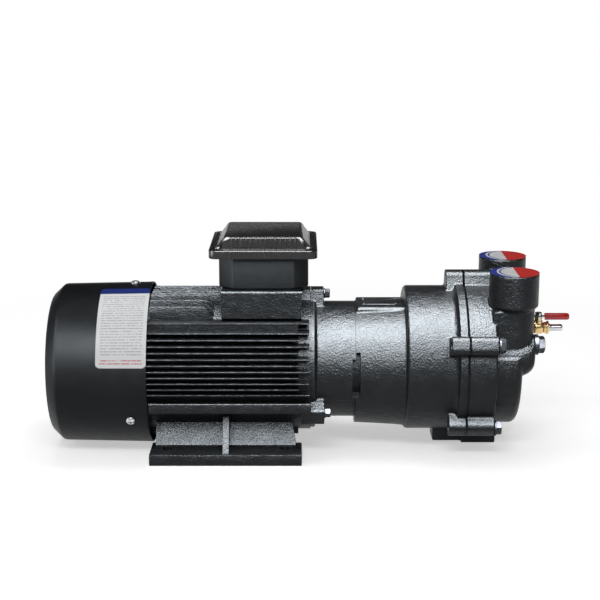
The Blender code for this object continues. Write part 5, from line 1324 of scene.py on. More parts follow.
@dataclass
class TerminalBox:
    """The box on the pad, its ribbed lid, screws and gland."""

    middle_x: float = -0.0563
    floor_z: float = 0.1020
    height: float = 0.0403
    length: float = 0.107
    half: float = 0.050
    chamfer: float = 0.017
    wall: float = 0.004
    ear_r: float = 0.007
    ear_depth: float = 0.0025
    gasket_t: float = 0.0012
    lid_length: float = 0.128
    lid_half: float = 0.066
    flange_t: float = 0.0084
    lid_rise: float = 0.0144
    lid_corner: float = 0.009
    lid_rim: float = 0.0085
    crown_half: float = 0.0525
    crown_slope: float = 0.010
    lid_room: Point = (0.047, 0.042)
    rib_pitch: float = 0.0058
    ribs: int = 14
    rib_depth: float = 0.0013
    skirt: float = 0.0020
    skirt_t: float = 0.0024
    seat_depth: float = 0.0010
    screw_inset: Point = (0.0105, 0.0165)
    screw_r: float = 0.002
    head_r: float = 0.0040
    gland_r: float = 0.0125
    gland_length: float = 0.024
    gland_bore: float = 0.006

    @property
    def top_z(self) -> float:
        """Height of the box's rim."""
        return self.floor_z + self.height

    @property
    def lid_z(self) -> float:
        """Height of the lid's underside."""
        return self.top_z + self.gasket_t

    def corners(self) -> list[Point]:
        """The (x, y) places of the lid screws."""
        reach = (self.lid_length / 2 - self.screw_inset[0], self.lid_half - self.screw_inset[1])
        return [(self.middle_x + sx * reach[0], sy * reach[1]) for sx, sy in ((-1, -1), (1, -1), (1, 1), (-1, 1))]

    def signs(self, x: float, y: float) -> tuple[int, int]:
        """Which way a corner lies from the box's middle."""
        return (1 if x > self.middle_x else -1), (1 if y > 0 else -1)

    def plan(self, x: float, y: float, radius: float, steps: int = 1) -> list[Point]:
        """A rectangle about the box's middle, by its half sizes."""
        return rounded(self.middle_x - x, self.middle_x + x, -y, y, radius, steps)

    def outline(self, inset: float, radius: float) -> list[Point]:
        """The box's plan at an inset from its outside."""
        return self.plan(self.length / 2 - inset, self.half - inset, radius)

    def box(self) -> Thing:
        """The chamfered box with its round edges, eyes and lead hole."""
        made = bevelled(prism(self.outline(0, self.chamfer), self.floor_z, self.top_z, "Z"), 0.0022, 3, 30)
        ears = []
        for x, y in self.corners():
            sx, sy = self.signs(x, y)
            reach = self.chamfer + self.wall / 2
            start = {(1, 1): -45, (-1, 1): 45, (-1, -1): 135, (1, -1): 225}[sx, sy]
            flat = arc(x, y, self.ear_r, start, start + 180, 12)
            ends = [(self.middle_x + sx * (self.length / 2 - reach), sy * (self.half - self.wall / 2)),
                    (self.middle_x + sx * (self.length / 2 - self.wall / 2), sy * (self.half - reach))]
            if sx * sy < 0:
                ends.reverse()
            ears.append(prism(flat + ends, self.top_z - self.ear_depth, self.top_z, "Z"))
        united(made, *ears)
        inner = self.chamfer - self.wall / 2
        cut(made, prism(self.outline(self.wall, inner), self.floor_z + self.wall, self.top_z + LAP, "Z"))
        gland = (self.middle_x, self.floor_z + self.height / 2)
        cut(made, rod((self.gland_r + self.gland_bore) / 2, self.half - 2 * self.wall, self.half + LAP, "Y", gland))
        cut(made, block(*LEAD_HOLE_X, -0.015, 0.015, self.floor_z - LAP, self.floor_z + self.wall + LAP))
        for spot in self.corners():
            cut(made, rod(self.screw_r + GAP, self.top_z - self.ear_depth - LAP, self.top_z + LAP, "Z", spot, 24))
        return made

    def crown(self) -> Thing:
        """The raised middle of the lid, with sloping ends and round edges."""
        half = self.lid_length / 2 - self.lid_rim
        top = self.lid_z + self.flange_t + self.lid_rise
        low = self.lid_z + self.flange_t - 0.0035
        rings = []
        for z, length, width in (
            (low, half, self.crown_half),
            (low + 0.0045, half, self.crown_half),
            (top - 0.0022, half - self.crown_slope + 0.0012, self.crown_half - 0.0008),
            (top - 0.0006, half - self.crown_slope - 0.0006, self.crown_half - 0.0018),
            (top, half - self.crown_slope - 0.0022, self.crown_half - 0.0034),
        ):
            rings.append([(x, y, z) for x, y in self.plan(length, width, 0.0025, 4)])
        return loft(rings)

    def lid(self, copies: GeometryTree) -> Thing:
        """Flange, crown, screw pockets and the rows of ribs on both long sides."""
        half, wall = self.lid_length / 2, self.skirt_t
        flat = self.plan(half, self.lid_half, self.lid_corner, 8)
        flange = bevelled(prism(flat, self.lid_z - self.skirt, self.lid_z + self.flange_t, "Z"), 0.0012, 3)
        inner = self.plan(half - wall, self.lid_half - wall, self.lid_corner - wall, 8)
        cut(flange, prism(inner, self.lid_z - self.skirt - LAP, self.lid_z, "Z"))
        united(flange, self.crown())
        low, high = self.lid_z + self.flange_t - 0.002, self.lid_z + self.flange_t + self.lid_rise
        rib = bevelled(block(-0.0017, 0.0017, -0.0030, self.rib_depth, 0, high - low - 0.0016), 0.0007, 2)
        spots = []
        for number in range(self.ribs):
            x = self.middle_x + (number - (self.ribs - 1) / 2) * self.rib_pitch
            for side in (-1, 1):
                spots.append(Spot((x, side * (self.crown_half - 0.0004), low), (0, 0, 0 if side > 0 else pi)))
        united(flange, scattered(copies, rib, spots))
        rib = bevelled(block(-0.0012, 0.0012, -0.002, 0.0004, -0.0006, self.flange_t - 0.0016), 0.0003, 1)
        spots = [Spot((spot.at[0], self.lid_half * (1 if spot.at[1] > 0 else -1), self.lid_z), spot.turn)
                 for spot in spots]
        united(flange, scattered(copies, rib, spots))
        seat = self.lid_z + self.flange_t - self.seat_depth
        pockets = [rod(self.head_r + 0.0016, seat, high + LAP, "Z", spot, 40) for spot in self.corners()]
        corner_cuts = []
        for x, y in self.corners():
            sx, sy = self.signs(x, y)
            xs = sorted((x - sx * 0.0056, x + sx * 0.02))
            ys = sorted((y - sy * 0.0056, y + sy * 0.02))
            corner_cuts.append(block(*xs, *ys, self.lid_z + self.flange_t, high + LAP))
        cut(flange, *pockets, *corner_cuts)
        cut(flange, prism(self.plan(*self.lid_room, self.chamfer), self.lid_z - LAP, high - 0.0035, "Z"))
        for spot in self.corners():
            cut(flange, rod(self.screw_r + GAP, self.lid_z - LAP, high, "Z", spot, 24))
        return flange

    def gland(self) -> Thing:
        """The cable gland with its hexagon nut."""
        seat = self.half + GAP
        shank = (self.gland_r + self.gland_bore) / 2 - GAP
        centre = (self.middle_x, self.floor_z + self.height / 2)
        end = seat + self.gland_length
        profile = [(self.half - 2 * self.wall, self.gland_bore), (self.half - 2 * self.wall, shank),
                   (seat, shank), (seat, self.gland_r - 0.0008), (seat + 0.008, self.gland_r - 0.0008),
                   (seat + 0.0082, self.gland_r - 0.0022), (end - 0.006, self.gland_r - 0.0022),
                   (end - 0.003, self.gland_r - 0.0036), (end - 0.0006, self.gland_r - 0.0060),
                   (end, self.gland_bore + 0.0006), (end, self.gland_bore)]
        made = turned(profile, 64, "Y", centre)
        flat = [(x + centre[0], z + centre[1]) for x, z in hexagon(2 * (self.gland_r - 0.0010))]
        nut = cut(prism(flat, seat + 0.0003, seat + 0.0075, "Y"), rod(shank - GAP, seat - LAP, end, "Y", centre))
        return united(made, bevelled(nut, 0.0005))

    def build(self, finishes: Finishes, copies: GeometryTree) -> None:
        """Make and settle the box and what is on it."""
        settle(self.box(), "box_body", finishes, Slot.GREY, ["terminal_box"])
        settle(self.lid(copies), "box_lid", finishes, Slot.GLOSS, ["terminal_lid"])
        settle(self.gland(), "box_gland", finishes, Slot.NYLON, ["cable_gland"])
        seat = self.lid_z + self.flange_t - self.seat_depth + GAP
        screw = pan_screw(self.head_r, 0.0026, self.screw_r, 0.0105)
        spots = [Spot((x, y, seat), (0, 0, 0.4 + number)) for number, (x, y) in enumerate(self.corners())]
        settle(scattered(copies, screw, spots), "box_screws", finishes, Slot.ZINC, numbered("lid_screw", len(spots)))


# Pump
@dataclass
class DriveShield:
    """The shield that carries the pump: rim, bolt ears and open barrel."""

    length: float = 0.0535
    rim_r: float = 0.081
    rim_t: float = 0.005
    barrel_r: float = 0.075
    cavity_r: float = 0.062
    spigot: float = 0.010
    stator_r: float = 0.0775
    web_x: float = 0.02365
    web_t: float = 0.0067
    seat_x: Point = (0.022, 0.041)
    seat_r: float = 0.0363
    hub_r: float = 0.044
    lug_t: float = 0.0162
    bolt_circle: float = 0.0863
    belly_x: float = 0.0172
    belly_step: float = 0.0075
    belly_angle: float = -24
    window_sweep: Point = (-21, 17)
    window_t: float = 0.004
    voxel: float = 0.0009

    def build(self, finishes: Finishes, copies: GeometryTree) -> None:
        """Make and settle the shield and its bolts."""
        edge = self.rim_t + 0.002
        over = CAST_OVER
        body = filled([(-over, self.rim_r), (self.rim_t, self.rim_r), (edge, self.barrel_r),
                       (self.length + over, self.barrel_r)])
        lugs = ShieldLugs()
        ears = lugs.solids(0.070, 0.004, -over, self.lug_t)
        sweep = (180 - self.belly_angle, 360 + self.belly_angle)
        belly = prism(sector(self.barrel_r - self.belly_step, self.barrel_r + 0.03, *sweep, 40), self.belly_x,
                      self.length + 2 * over)
        cut(body, belly)
        shield = cast([body, *ears], self.voxel, 3, 0.45)
        cut(shield, slab(-2 * over, GAP), slab(self.length, self.length + 2 * over))
        united(shield, rod(self.stator_r, -self.spigot, GAP + LAP, sides=128))
        start, end = self.seat_x
        wide, narrow = self.stator_r - self.web_t, self.barrel_r - self.belly_step - self.rim_t
        before = filled([(-self.spigot - LAP, wide), (GAP, wide), (self.belly_x - self.web_t, narrow),
                         (self.web_x, narrow)], 96)
        cut(before, rod(self.hub_r, start - 0.0025, end, sides=96))
        behind = rod(self.cavity_r, self.web_x + self.web_t, self.length + LAP, sides=160)
        cut(behind, rod(self.hub_r, start, end + 0.005, sides=96))
        bore = [(start - 0.005, self.seat_r), (end + GAP, self.seat_r), (end + GAP, self.seat_r - 0.005),
                (end + 0.010, self.seat_r - 0.005)]
        cut(shield, before, behind, filled(bore, 96))
        cut(shield, *windows(self.window_sweep, self.cavity_r - LAP, self.barrel_r + 0.005,
                             self.length - self.window_t, self.length + LAP))
        places = [polar(self.bolt_circle, angle) for angle in lugs.angles]
        cut(shield, *[rod(0.0033, -LAP, self.lug_t + LAP, centre=place, sides=32) for place in places])
        settle(shield, "drive_shield", finishes, Slot.CAST, ["end_shield_drive"], angle=CAST_ANGLE)
        bolt = hex_bolt(0.010, 0.006, 0.0012, 0.003, 0.020)
        spots = bolt_spots(self.lug_t + GAP, places, 11)
        settle(scattered(copies, bolt, spots), "shield_bolts", finishes, Slot.BLACK_STEEL,
               numbered("shield_bolt", len(spots)))


@dataclass
class Chamber:
    """Sizes that casing, port plate and cover share."""

    joint_x: float = 0.1842
    rise: float = 0.0062
    bore_r: float = 0.078
    wall_r: float = 0.0883
    flange_r: float = 0.0955
    lug_r: float = 0.109
    lug_width: float = 0.0225
    lug_corner: float = 0.007
    bolt_circle: float = 0.102
    bolt_r: float = 0.0051
    bolt_angles: tuple[float, ...] = (90, 22, -42, 158, 222)
    foot_half: float = 0.0186
    top_draft: float = 0.0095

    def lugs(self, start: float, end: float) -> list[Thing]:
        """The bolt lugs between two places on the shaft."""
        return [prism(lug(angle, 0.078, self.lug_r, self.lug_width, self.lug_corner, self.rise,
                          self.top_draft if angle == 90 else 0.0), start, end) for angle in self.bolt_angles]

    def places(self) -> list[Point]:
        """The (y, z) places of the cover bolts."""
        return [polar(self.bolt_circle, angle, self.rise) for angle in self.bolt_angles]

    def bolt_holes(self, start: float, end: float) -> list[Thing]:
        """Cutters for the cover bolts."""
        return [rod(self.bolt_r, start, end, centre=place, sides=32) for place in self.places()]

    def foot(self, start: float, end: float, lift: float) -> Thing:
        """The support under the pump."""
        flat = rounded(start, end, -self.foot_half, self.foot_half, 0.0035, 5)
        return prism(flat, FLOOR_Z + lift, -0.062, "Z")


@dataclass
class PumpCasing:
    """Lantern and eccentric pump chamber in one casting."""

    start_x: float = 0.0538
    chamber_x: float = 0.1142
    lantern_r: float = 0.075
    flare: float = 0.0037
    spigot_r: float = 0.0617
    spigot_x: float = 0.0458
    chamber_corner: float = 0.004
    flange_t: float = 0.016
    lug_t: float = 0.020
    pad_half: float = 0.030
    pad_x: Point = (0.0562, 0.1122)
    window_sweep: Point = (-21, 23)
    window_t: float = 0.0055
    seal_x: float = 0.1062
    seal_bore: float = 0.024
    bore_x: float = 0.1262
    shaft_bore: float = 0.0156
    cavity_r: float = 0.0572
    cavity_end: float = 0.0922
    foot_start: float = 0.1512
    foot_lift: float = 0.003
    voxel: float = 0.0011

    def build(self, finishes: Finishes, chamber: Chamber) -> None:
        """Make and settle the casing."""
        joint = chamber.joint_x
        wide = self.lantern_r + self.flare
        over = CAST_OVER
        lantern = filled([(self.start_x - over, self.lantern_r), (self.start_x, self.lantern_r),
                          (self.chamber_x - 0.012, wide - 0.0012), (self.chamber_x, wide),
                          (self.chamber_x + 0.012, wide)])
        corner = arc(self.chamber_x + self.chamber_corner, chamber.wall_r - self.chamber_corner,
                     self.chamber_corner, 180, 90, 6)
        flange_x = joint - self.flange_t
        hollow = chamber.flange_r - chamber.wall_r
        drum = [*corner, *arc(flange_x, chamber.flange_r, hollow, 270, 350, 6),
                (flange_x + hollow, chamber.flange_r), (joint + over, chamber.flange_r)]
        shells = [lantern, filled(drum, centre=(0, chamber.rise)),
                  *chamber.lugs(joint - self.lug_t, joint + over)]
        shells.append(chamber.foot(self.foot_start, joint + over, self.foot_lift))
        half, top = self.pad_half, self.lantern_r + 0.0005
        pad = [(-half, 0.0375), (half, 0.0375), (half, top - 0.003), (half - 0.003, top), (0.003 - half, top),
               (-half, top - 0.003)]
        shells.append(prism(pad, *self.pad_x))
        made = cast(shells, self.voxel, 3, 0.45)
        cut(made, slab(self.start_x - 0.01, self.start_x), slab(joint, joint + 2 * over))
        united(made, rod(self.spigot_r, self.spigot_x, self.start_x + 0.002, sides=160))
        cavity = [(self.spigot_x - LAP, self.cavity_r), (self.cavity_end, self.cavity_r),
                  (self.cavity_end + 0.007, self.cavity_r - 0.007)]
        cut(made, filled(cavity, 128))
        cut(made, *windows(self.window_sweep, self.spigot_r + GAP, self.lantern_r + 0.004,
                           self.start_x - LAP, self.start_x + self.window_t))
        seal = [(0.09, self.shaft_bore), (self.seal_x, self.shaft_bore), (self.seal_x, self.seal_bore),
                (self.bore_x + LAP, self.seal_bore)]
        room = rod(chamber.bore_r, self.bore_x, joint + LAP, centre=(0, chamber.rise), sides=160)
        cut(made, filled(seal, 64), room, *chamber.bolt_holes(joint - self.lug_t - LAP, joint + LAP))
        settle(made, "pump_body", finishes, Slot.CAST, ["pump_casing"], angle=CAST_ANGLE)


@dataclass
class PumpCover:
    """End cover: drum, lugs, lower boss, foot, two port columns and their bridge."""

    start_x: float = 0.1872
    drum_t: float = 0.032
    drum_r: float = 0.094
    boss_r: float = 0.081
    boss_t: float = 0.032
    boss_round: float = 0.008
    foot_length: float = 0.042
    port_x: float = 0.2412
    port_y: float = 0.0516
    neck_r: float = 0.0254
    neck_half: float = 0.0215
    belly_z: Point = (-0.0025, 0.0405)
    belly_round: float = 0.0185
    head_r: float = 0.0293
    bore_r: float = 0.0220
    throat_r: float = 0.0175
    port_top: float = 0.123
    head_height: float = 0.039
    cone_height: float = 0.0065
    column_round: float = 0.022
    bridge_z: Point = (0.0225, 0.060)
    bridge_set: float = 0.009
    plug_z: float = 0.0349
    collar_r: float = 0.0127
    valve_z: float = 0.043
    valve_boss_r: float = 0.012
    room_r: float = 0.0677
    room_gap: float = 0.003
    duct_r: float = 0.016
    duct_y: float = 0.044
    saddle_t: float = 0.009
    saddle_z: float = 0.0675
    notch_r: float = 0.0105
    voxel: float = 0.0011

    @property
    def face_x(self) -> float:
        """Place of the cover's flat face."""
        return self.start_x + self.drum_t

    @property
    def column_x(self) -> float:
        """Place of the columns' outermost line."""
        return self.port_x + self.neck_r

    def column(self, side: int) -> list[Thing]:
        """One column: neck with its round foot, and the port head."""
        y = side * self.port_y
        back = self.face_x - 0.004
        neck_top = self.port_top - self.head_height - self.cone_height
        rings = [self.neck_ring(y, self.plug_z - 0.020, self.column_x - 0.002, back),
                 self.neck_ring(y, neck_top + 0.002, self.column_x, back)]
        head = [(neck_top - LAP, self.neck_half), (neck_top, self.neck_half + 0.0006),
                (neck_top + self.cone_height, self.head_r), (self.port_top - 0.0005, self.head_r),
                (self.port_top, self.head_r - 0.0005)]
        collar = rod(self.collar_r, self.port_x, self.column_x, centre=(y, self.plug_z), sides=64)
        return [loft(rings), filled(head, 128, "Z", (self.port_x, y)), collar, self.belly(y, back)]

    def belly(self, y: float, back: float) -> Thing:
        """The level lower body of a column, with a round end and a soft upper ledge."""
        low, high = self.belly_z
        rings = []
        for step in range(11):
            angle = radians(90 * step / 10)
            inset = self.column_round * 0.8 * (1 - cos(angle))
            x = self.column_x - self.column_round * (1 - sin(angle))
            lift = inset * 0.9
            flat = rounded(y - self.neck_r + inset * 0.5, y + self.neck_r - inset * 0.5, low + lift, high - inset * 0.1,
                           self.belly_round - inset * 0.5, 8)
            rings.append([(x, a, b) for a, b in flat])
        first = [(back, a, b) for _, a, b in rings[0]]
        return loft([first, *rings])

    def neck_ring(self, y: float, z: float, reach: float, back: float) -> list[Point3]:
        """One level of a column: a D shape with its round side towards +X."""
        flat = [(a, y + (b - y) * self.neck_half / self.neck_r)
                for a, b in arc(reach - self.neck_r, y, self.neck_r, -90, 90, 32)]
        return [(back, y - self.neck_half, z), *[(a, b, z) for a, b in flat], (back, y + self.neck_half, z)]

    def saddle(self, chamber: Chamber) -> Thing:
        """The thick upper part between the columns, hollowed round its bolt."""
        start, end, radius = self.face_x - 0.004, self.face_x + self.saddle_t, self.drum_r - 0.0015
        made = filled([(start, radius), (end - 0.003, radius), (end, radius - 0.003)], centre=(0, chamber.rise))
        below = block(start - LAP, end + LAP, -0.11, 0.11, -0.11, self.saddle_z)
        notch = rod(self.notch_r, self.face_x, end + LAP, centre=polar(chamber.bolt_circle, 90, chamber.rise), sides=64)
        return cut(made, below, notch)

    def build(self, finishes: Finishes, copies: GeometryTree, chamber: Chamber) -> None:
        """Make and settle the cover and everything on it."""
        face, joint = self.face_x, self.start_x
        over = CAST_OVER
        drum = filled([(joint - over, self.drum_r), (face - 0.001, self.drum_r), (face, self.drum_r - 0.001)],
                      centre=(0, chamber.rise))
        end = face + self.boss_t
        boss = filled([(face - 0.004, self.boss_r),
                       *arc(end - self.boss_round, self.boss_r - self.boss_round, self.boss_round, 90, 0, 10)],
                      centre=(0, chamber.rise))
        cut(boss, block(face - 0.01, end + LAP, -0.1, 0.1, self.bridge_z[0] + 0.0015, 0.2))
        shells = [drum, boss, *chamber.lugs(joint - over, face)]
        shells.append(chamber.foot(joint - over, joint + self.foot_length, 0))
        shells += [self.saddle(chamber), *self.column(-1), *self.column(1)]
        bridge_end = self.column_x - self.bridge_set
        shells.append(block(face - 0.004, bridge_end, -self.port_y, self.port_y, *self.bridge_z))
        shells.append(rod(self.valve_boss_r, face, self.column_x - GAP, centre=(0, self.valve_z), sides=64))
        made = cast(shells, self.voxel, 3, 0.5)
        cut(made, slab(joint - 0.01, joint))
        for side in (-1, 1):
            tilt = degrees(self.room_gap / self.room_r)
            flat = [(side * y, z) for y, z in arc(0, chamber.rise, self.room_r, tilt - 90, 90 - tilt, 40)]
            room = prism(flat, joint - LAP, joint + 0.024)
            duct = rod(self.duct_r, joint + LAP, self.port_x, centre=(side * self.duct_y, self.plug_z), sides=64)
            bottom, rim, centre = 0.0195, self.port_top, (self.port_x, side * self.port_y)
            narrow = rim - self.head_height - self.cone_height
            bore = filled([(bottom, self.throat_r), (narrow, self.throat_r),
                           (narrow + self.cone_height, self.bore_r), (rim - 0.0015, self.bore_r),
                           (rim + LAP, self.bore_r + 0.0025)], 128, "Z", centre)
            cut(made, room, duct, bore)
            plug = (side * self.port_y, self.plug_z)
            cut(made, rod(0.0093, self.column_x - 0.011, self.column_x + LAP, centre=plug, sides=32))
        cut(made, rod(0.0053, self.column_x - 0.009, self.column_x + LAP, centre=(0, self.valve_z), sides=32))
        cut(made, *chamber.bolt_holes(joint - LAP, face + LAP))
        settle(made, "cover_casting", finishes, Slot.CAST, ["pump_cover"], angle=CAST_ANGLE)
        bolt = hex_bolt(0.015, 0.0062, 0.0018, 0.0045, 0.045)
        spots = bolt_spots(face + GAP, chamber.places(), 17)
        settle(scattered(copies, bolt, spots), "cover_bolts", finishes, Slot.BLACK_STEEL,
               numbered("cover_bolt", len(spots)))
        self.plugs(finishes, copies)

    def plugs(self, finishes: Finishes, copies: GeometryTree) -> None:
        """Make and settle the hexagon plugs of both columns."""
        plug = hex_bolt(0.018, 0.0073, 0.0, 0.009, 0.010)
        collar = filled([(0, 0.0120), (0.0005, 0.0124), (0.0047, 0.0124), (0.0055, 0.0112)], 64)
        moved(plug, Matrix.Translation((0.0055, 0, 0)))
        united(plug, collar)
        spots = [Spot((self.column_x + GAP, side * self.port_y, self.plug_z), (radians(20 * side), 0, 0))
                 for side in (-1, 1)]
        settle(scattered(copies, plug, spots), "column_plugs", finishes, Slot.BLACK_STEEL,
               numbered("column_plug", len(spots)))


@dataclass
class Trim:
    """Bare nameplate on the lantern and coloured discs on the ports."""

    plate_x: Point = (0.0620, 0.1070)
    plate_half: float = 0.0155
    plate_z: float = 0.0755
    plate_t: float = 0.0006
    rivet_r: float = 0.0013
    disc_t: float = 0.0004
    disc_z: float = 0.123

    def nameplate(self) -> Thing:
        """A bare plate with round corners."""
        flat = rounded(*self.plate_x, -self.plate_half, self.plate_half, 0.002, 4)
        return bevelled(prism(flat, self.plate_z, self.plate_z + self.plate_t, "Z"), 0.00015, 1)

    def build(self, finishes: Finishes, copies: GeometryTree, cover: PumpCover) -> None:
        """Make and settle the plate, its rivets and the discs."""
        settle(self.nameplate(), "nameplate", finishes, Slot.BLACK_STEEL)
        rivet = turned([(self.rivet_r * up, self.rivet_r * out)
                        for up, out in ((0, 0), (0, 1), (0.4, 0.85), (0.75, 0.4), (0.8, 0))], 20, "Z")
        top = self.plate_z + self.plate_t
        spots = [Spot((x, y, top)) for x in (self.plate_x[0] + 0.003, self.plate_x[1] - 0.003)
                 for y in (-self.plate_half + 0.003, self.plate_half - 0.003)]
        settle(scattered(copies, rivet, spots), "nameplate_rivets", finishes, Slot.ZINC)
        for side, name in ((-1, "discharge"), (1, "suction")):
            low = self.disc_z + 0.0001
            disc = rod(cover.head_r, low, low + self.disc_t, "Z", (cover.port_x, side * cover.port_y))
            settle(disc, f"port_disc_{name}", finishes, Slot.CAST, material=port_disc_card(cover, side))


def port_disc_card(cover: PumpCover, side: int) -> Material:
    """Blue, white and red card that closes a port until it is piped.

    Args:
        cover: the cover that carries it.
        side: -1 in front and 1 behind.

    Returns:
        The material.
    """
    made = Surface(f"port card {'front' if side < 0 else 'rear'}", (0.8, 0.8, 0.8), 0.3)
    middle = (CENTRE_X - cover.port_x, -side * cover.port_y, 0)
    x = made.node("ShaderNodeSeparateXYZ", made.place(shift=middle)).outputs[0]
    across = made.span(x, 0, 1, -cover.head_r, cover.head_r)
    white, blue, red = (0.78, 0.79, 0.80), (0.02, 0.05, 0.36), (0.68, 0.025, 0.02)
    shift = (middle[0] - 0.5 * cover.head_r, middle[1], 0)
    flat = made.node("ShaderNodeVectorMath", made.place(shift=shift), (1, 1, 0), operation="MULTIPLY").outputs[0]
    far = made.node("ShaderNodeVectorMath", flat, operation="LENGTH").outputs["Value"]
    reach = made.span(far, 0, 1, 0, 1.6 * cover.head_r)
    arcs = made.tones(reach, ((0.0, white), (0.66, blue), (0.70, white), (0.76, blue)), steps=True)
    half = made.tones(across, ((0.0, (0, 0, 0)), (0.53, (1, 1, 1))), steps=True)
    made.dress(Base_Color=made.mixed(half, arcs, red))
    made.dress(Roughness=made.span(made.noise(0.01, 2), 0.22, 0.36))
    return made.material


@dataclass
class ServiceValve:
    """The small ball valve: body, stem, lever, sleeve, nut and hose nipple."""

    start_x: float = 0.2666
    centre_z: float = 0.043
    reach: float = 0.0137
    length: float = 0.0265
    radius: float = 0.0078
    waist: float = 0.0068
    hexagon: float = 0.0150
    hexagon_t: float = 0.003
    bore_r: float = 0.0025
    tower_r: float = 0.0045
    tower_top: float = 0.0130
    lever_t: float = 0.0016
    lever_length: float = 0.0377
    lever_half: float = 0.0035
    hub_r: float = 0.0055
    sleeve_length: float = 0.0304
    nut: float = 0.008
    nut_t: float = 0.004
    stem_r: float = 0.0022
    nipple_r: float = 0.0043
    nipple_length: float = 0.0165

    @property
    def stem_x(self) -> float:
        """Place of the stem."""
        return self.start_x + self.reach

    def body(self) -> Thing:
        """The turned body with its two hexagons and the stem's tower."""
        mid, end = self.reach, self.length
        profile = [(-0.008, 0.005), (GAP, 0.005), (GAP, self.waist), (mid - 0.0068, self.waist)]
        profile += arc(mid - 0.0035, self.radius - 0.0025, 0.0025, 180, 90, 5)
        profile += arc(mid + 0.0035, self.radius - 0.0025, 0.0025, 90, 0, 5)
        profile += [(mid + 0.0068, self.waist), (end, self.waist)]
        made = filled(profile, 64)
        low = end - self.hexagon_t
        united(made, bevelled(prism(hexagon(self.hexagon), low, end - 0.0002), 0.0005))
        tower = filled([(0, self.tower_r + 0.0008), (0.0088, self.tower_r + 0.0008), (0.0092, self.tower_r),
                        (self.tower_top - 0.0004, self.tower_r), (self.tower_top, self.tower_r - 0.0004)],
                       48, "Z", (mid, 0))
        united(made, tower)
        cut(made, rod(self.bore_r, -0.009, end + LAP, sides=32), rod(0.0052, -0.0052, 0.0052, "Z", (mid, 0), 32),
            rod(self.stem_r + GAP, 0, self.tower_top + LAP, "Z", (mid, 0), 32))
        return moved(made, Matrix.Translation((self.start_x, 0, self.centre_z)))

    def lever(self) -> Thing:
        """The flat lever with its round hub."""
        low = self.tower_top + GAP
        flat = arc(0, 0, self.hub_r, 40, 320, 32)
        grip = self.lever_length - 0.0015
        flat += [(self.hub_r + 0.001, -self.lever_half), (grip, -self.lever_half), (grip, self.lever_half),
                 (self.hub_r + 0.001, self.lever_half)]
        made = bevelled(prism(flat, low, low + self.lever_t, "Z"), 0.00025, 2)
        cut(made, rod(self.stem_r + GAP, low - LAP, low + self.lever_t + LAP, "Z", sides=32))
        return self.on_stem(made)

    def sleeve(self) -> Thing:
        """The dipped sleeve with its soft end."""
        middle = self.tower_top + GAP + self.lever_t / 2
        start = self.lever_length - self.sleeve_length
        rings = []
        for share, size in ((0.0, 0.90), (0.02, 1.0), (0.5, 0.985), (0.9, 1.0), (0.955, 0.93), (0.985, 0.78),
                            (1.0, 0.5)):
            x = start + share * self.sleeve_length
            ring = []
            for step in range(32):
                a = tau * step / 32
                c, s = cos(a), sin(a)
                y = 0.0052 * size * (abs(c) ** 0.62) * (1 if c > 0 else -1)
                z = 0.0040 * size * (abs(s) ** 0.85) * (1 if s > 0 else -1)
                ring.append((x, y, middle + z))
            rings.append(ring)
        return self.on_stem(loft(rings))

    def on_stem(self, made: Thing) -> Thing:
        """Carry a mesh from the stem's foot to its place."""
        return moved(made, Matrix.Translation((self.stem_x, 0, self.centre_z)))

    def lock_nut(self) -> Thing:
        """The nut on the stem, with the stem's threaded end."""
        low = self.tower_top + 2 * GAP + self.lever_t
        nut = bevelled(prism(hexagon(self.nut), low, low + self.nut_t, "Z"), 0.0004)
        return self.on_stem(cut(nut, rod(self.stem_r + GAP, low - LAP, low + 0.01, "Z", sides=32)))

    def nipple(self) -> Thing:
        """The plain hose nipple with one low bead at its end."""
        start = self.start_x + self.length + GAP
        end = start + self.nipple_length
        profile = [(start, self.bore_r), (start, self.nipple_r + 0.0006), (start + 0.0012, self.nipple_r + 0.0006),
                   (start + 0.0014, self.nipple_r - 0.0002), (end - 0.0040, self.nipple_r - 0.0002),
                   (end - 0.0036, self.nipple_r), (end - 0.0010, self.nipple_r - 0.0001),
                   (end, self.nipple_r - 0.0010), (end, self.bore_r)]
        return turned(profile, 48, centre=(0, self.centre_z))

    def build(self, finishes: Finishes) -> None:
        """Make and settle every piece of the valve."""
        settle(self.body(), "valve_casting", finishes, Slot.BRASS, ["valve_body"])
        settle(self.nipple(), "plain_nipple", finishes, Slot.ZINC, ["hose_nipple"])
        settle(self.lever(), "lever_plate", finishes, Slot.ZINC, ["valve_lever"], HANDLE)
        settle(self.sleeve(), "lever_grip", finishes, Slot.VINYL, ["lever_sleeve"], HANDLE)
        settle(self.lock_nut(), "stem_nut", finishes, Slot.ZINC, ["lever_nut"], HANDLE)


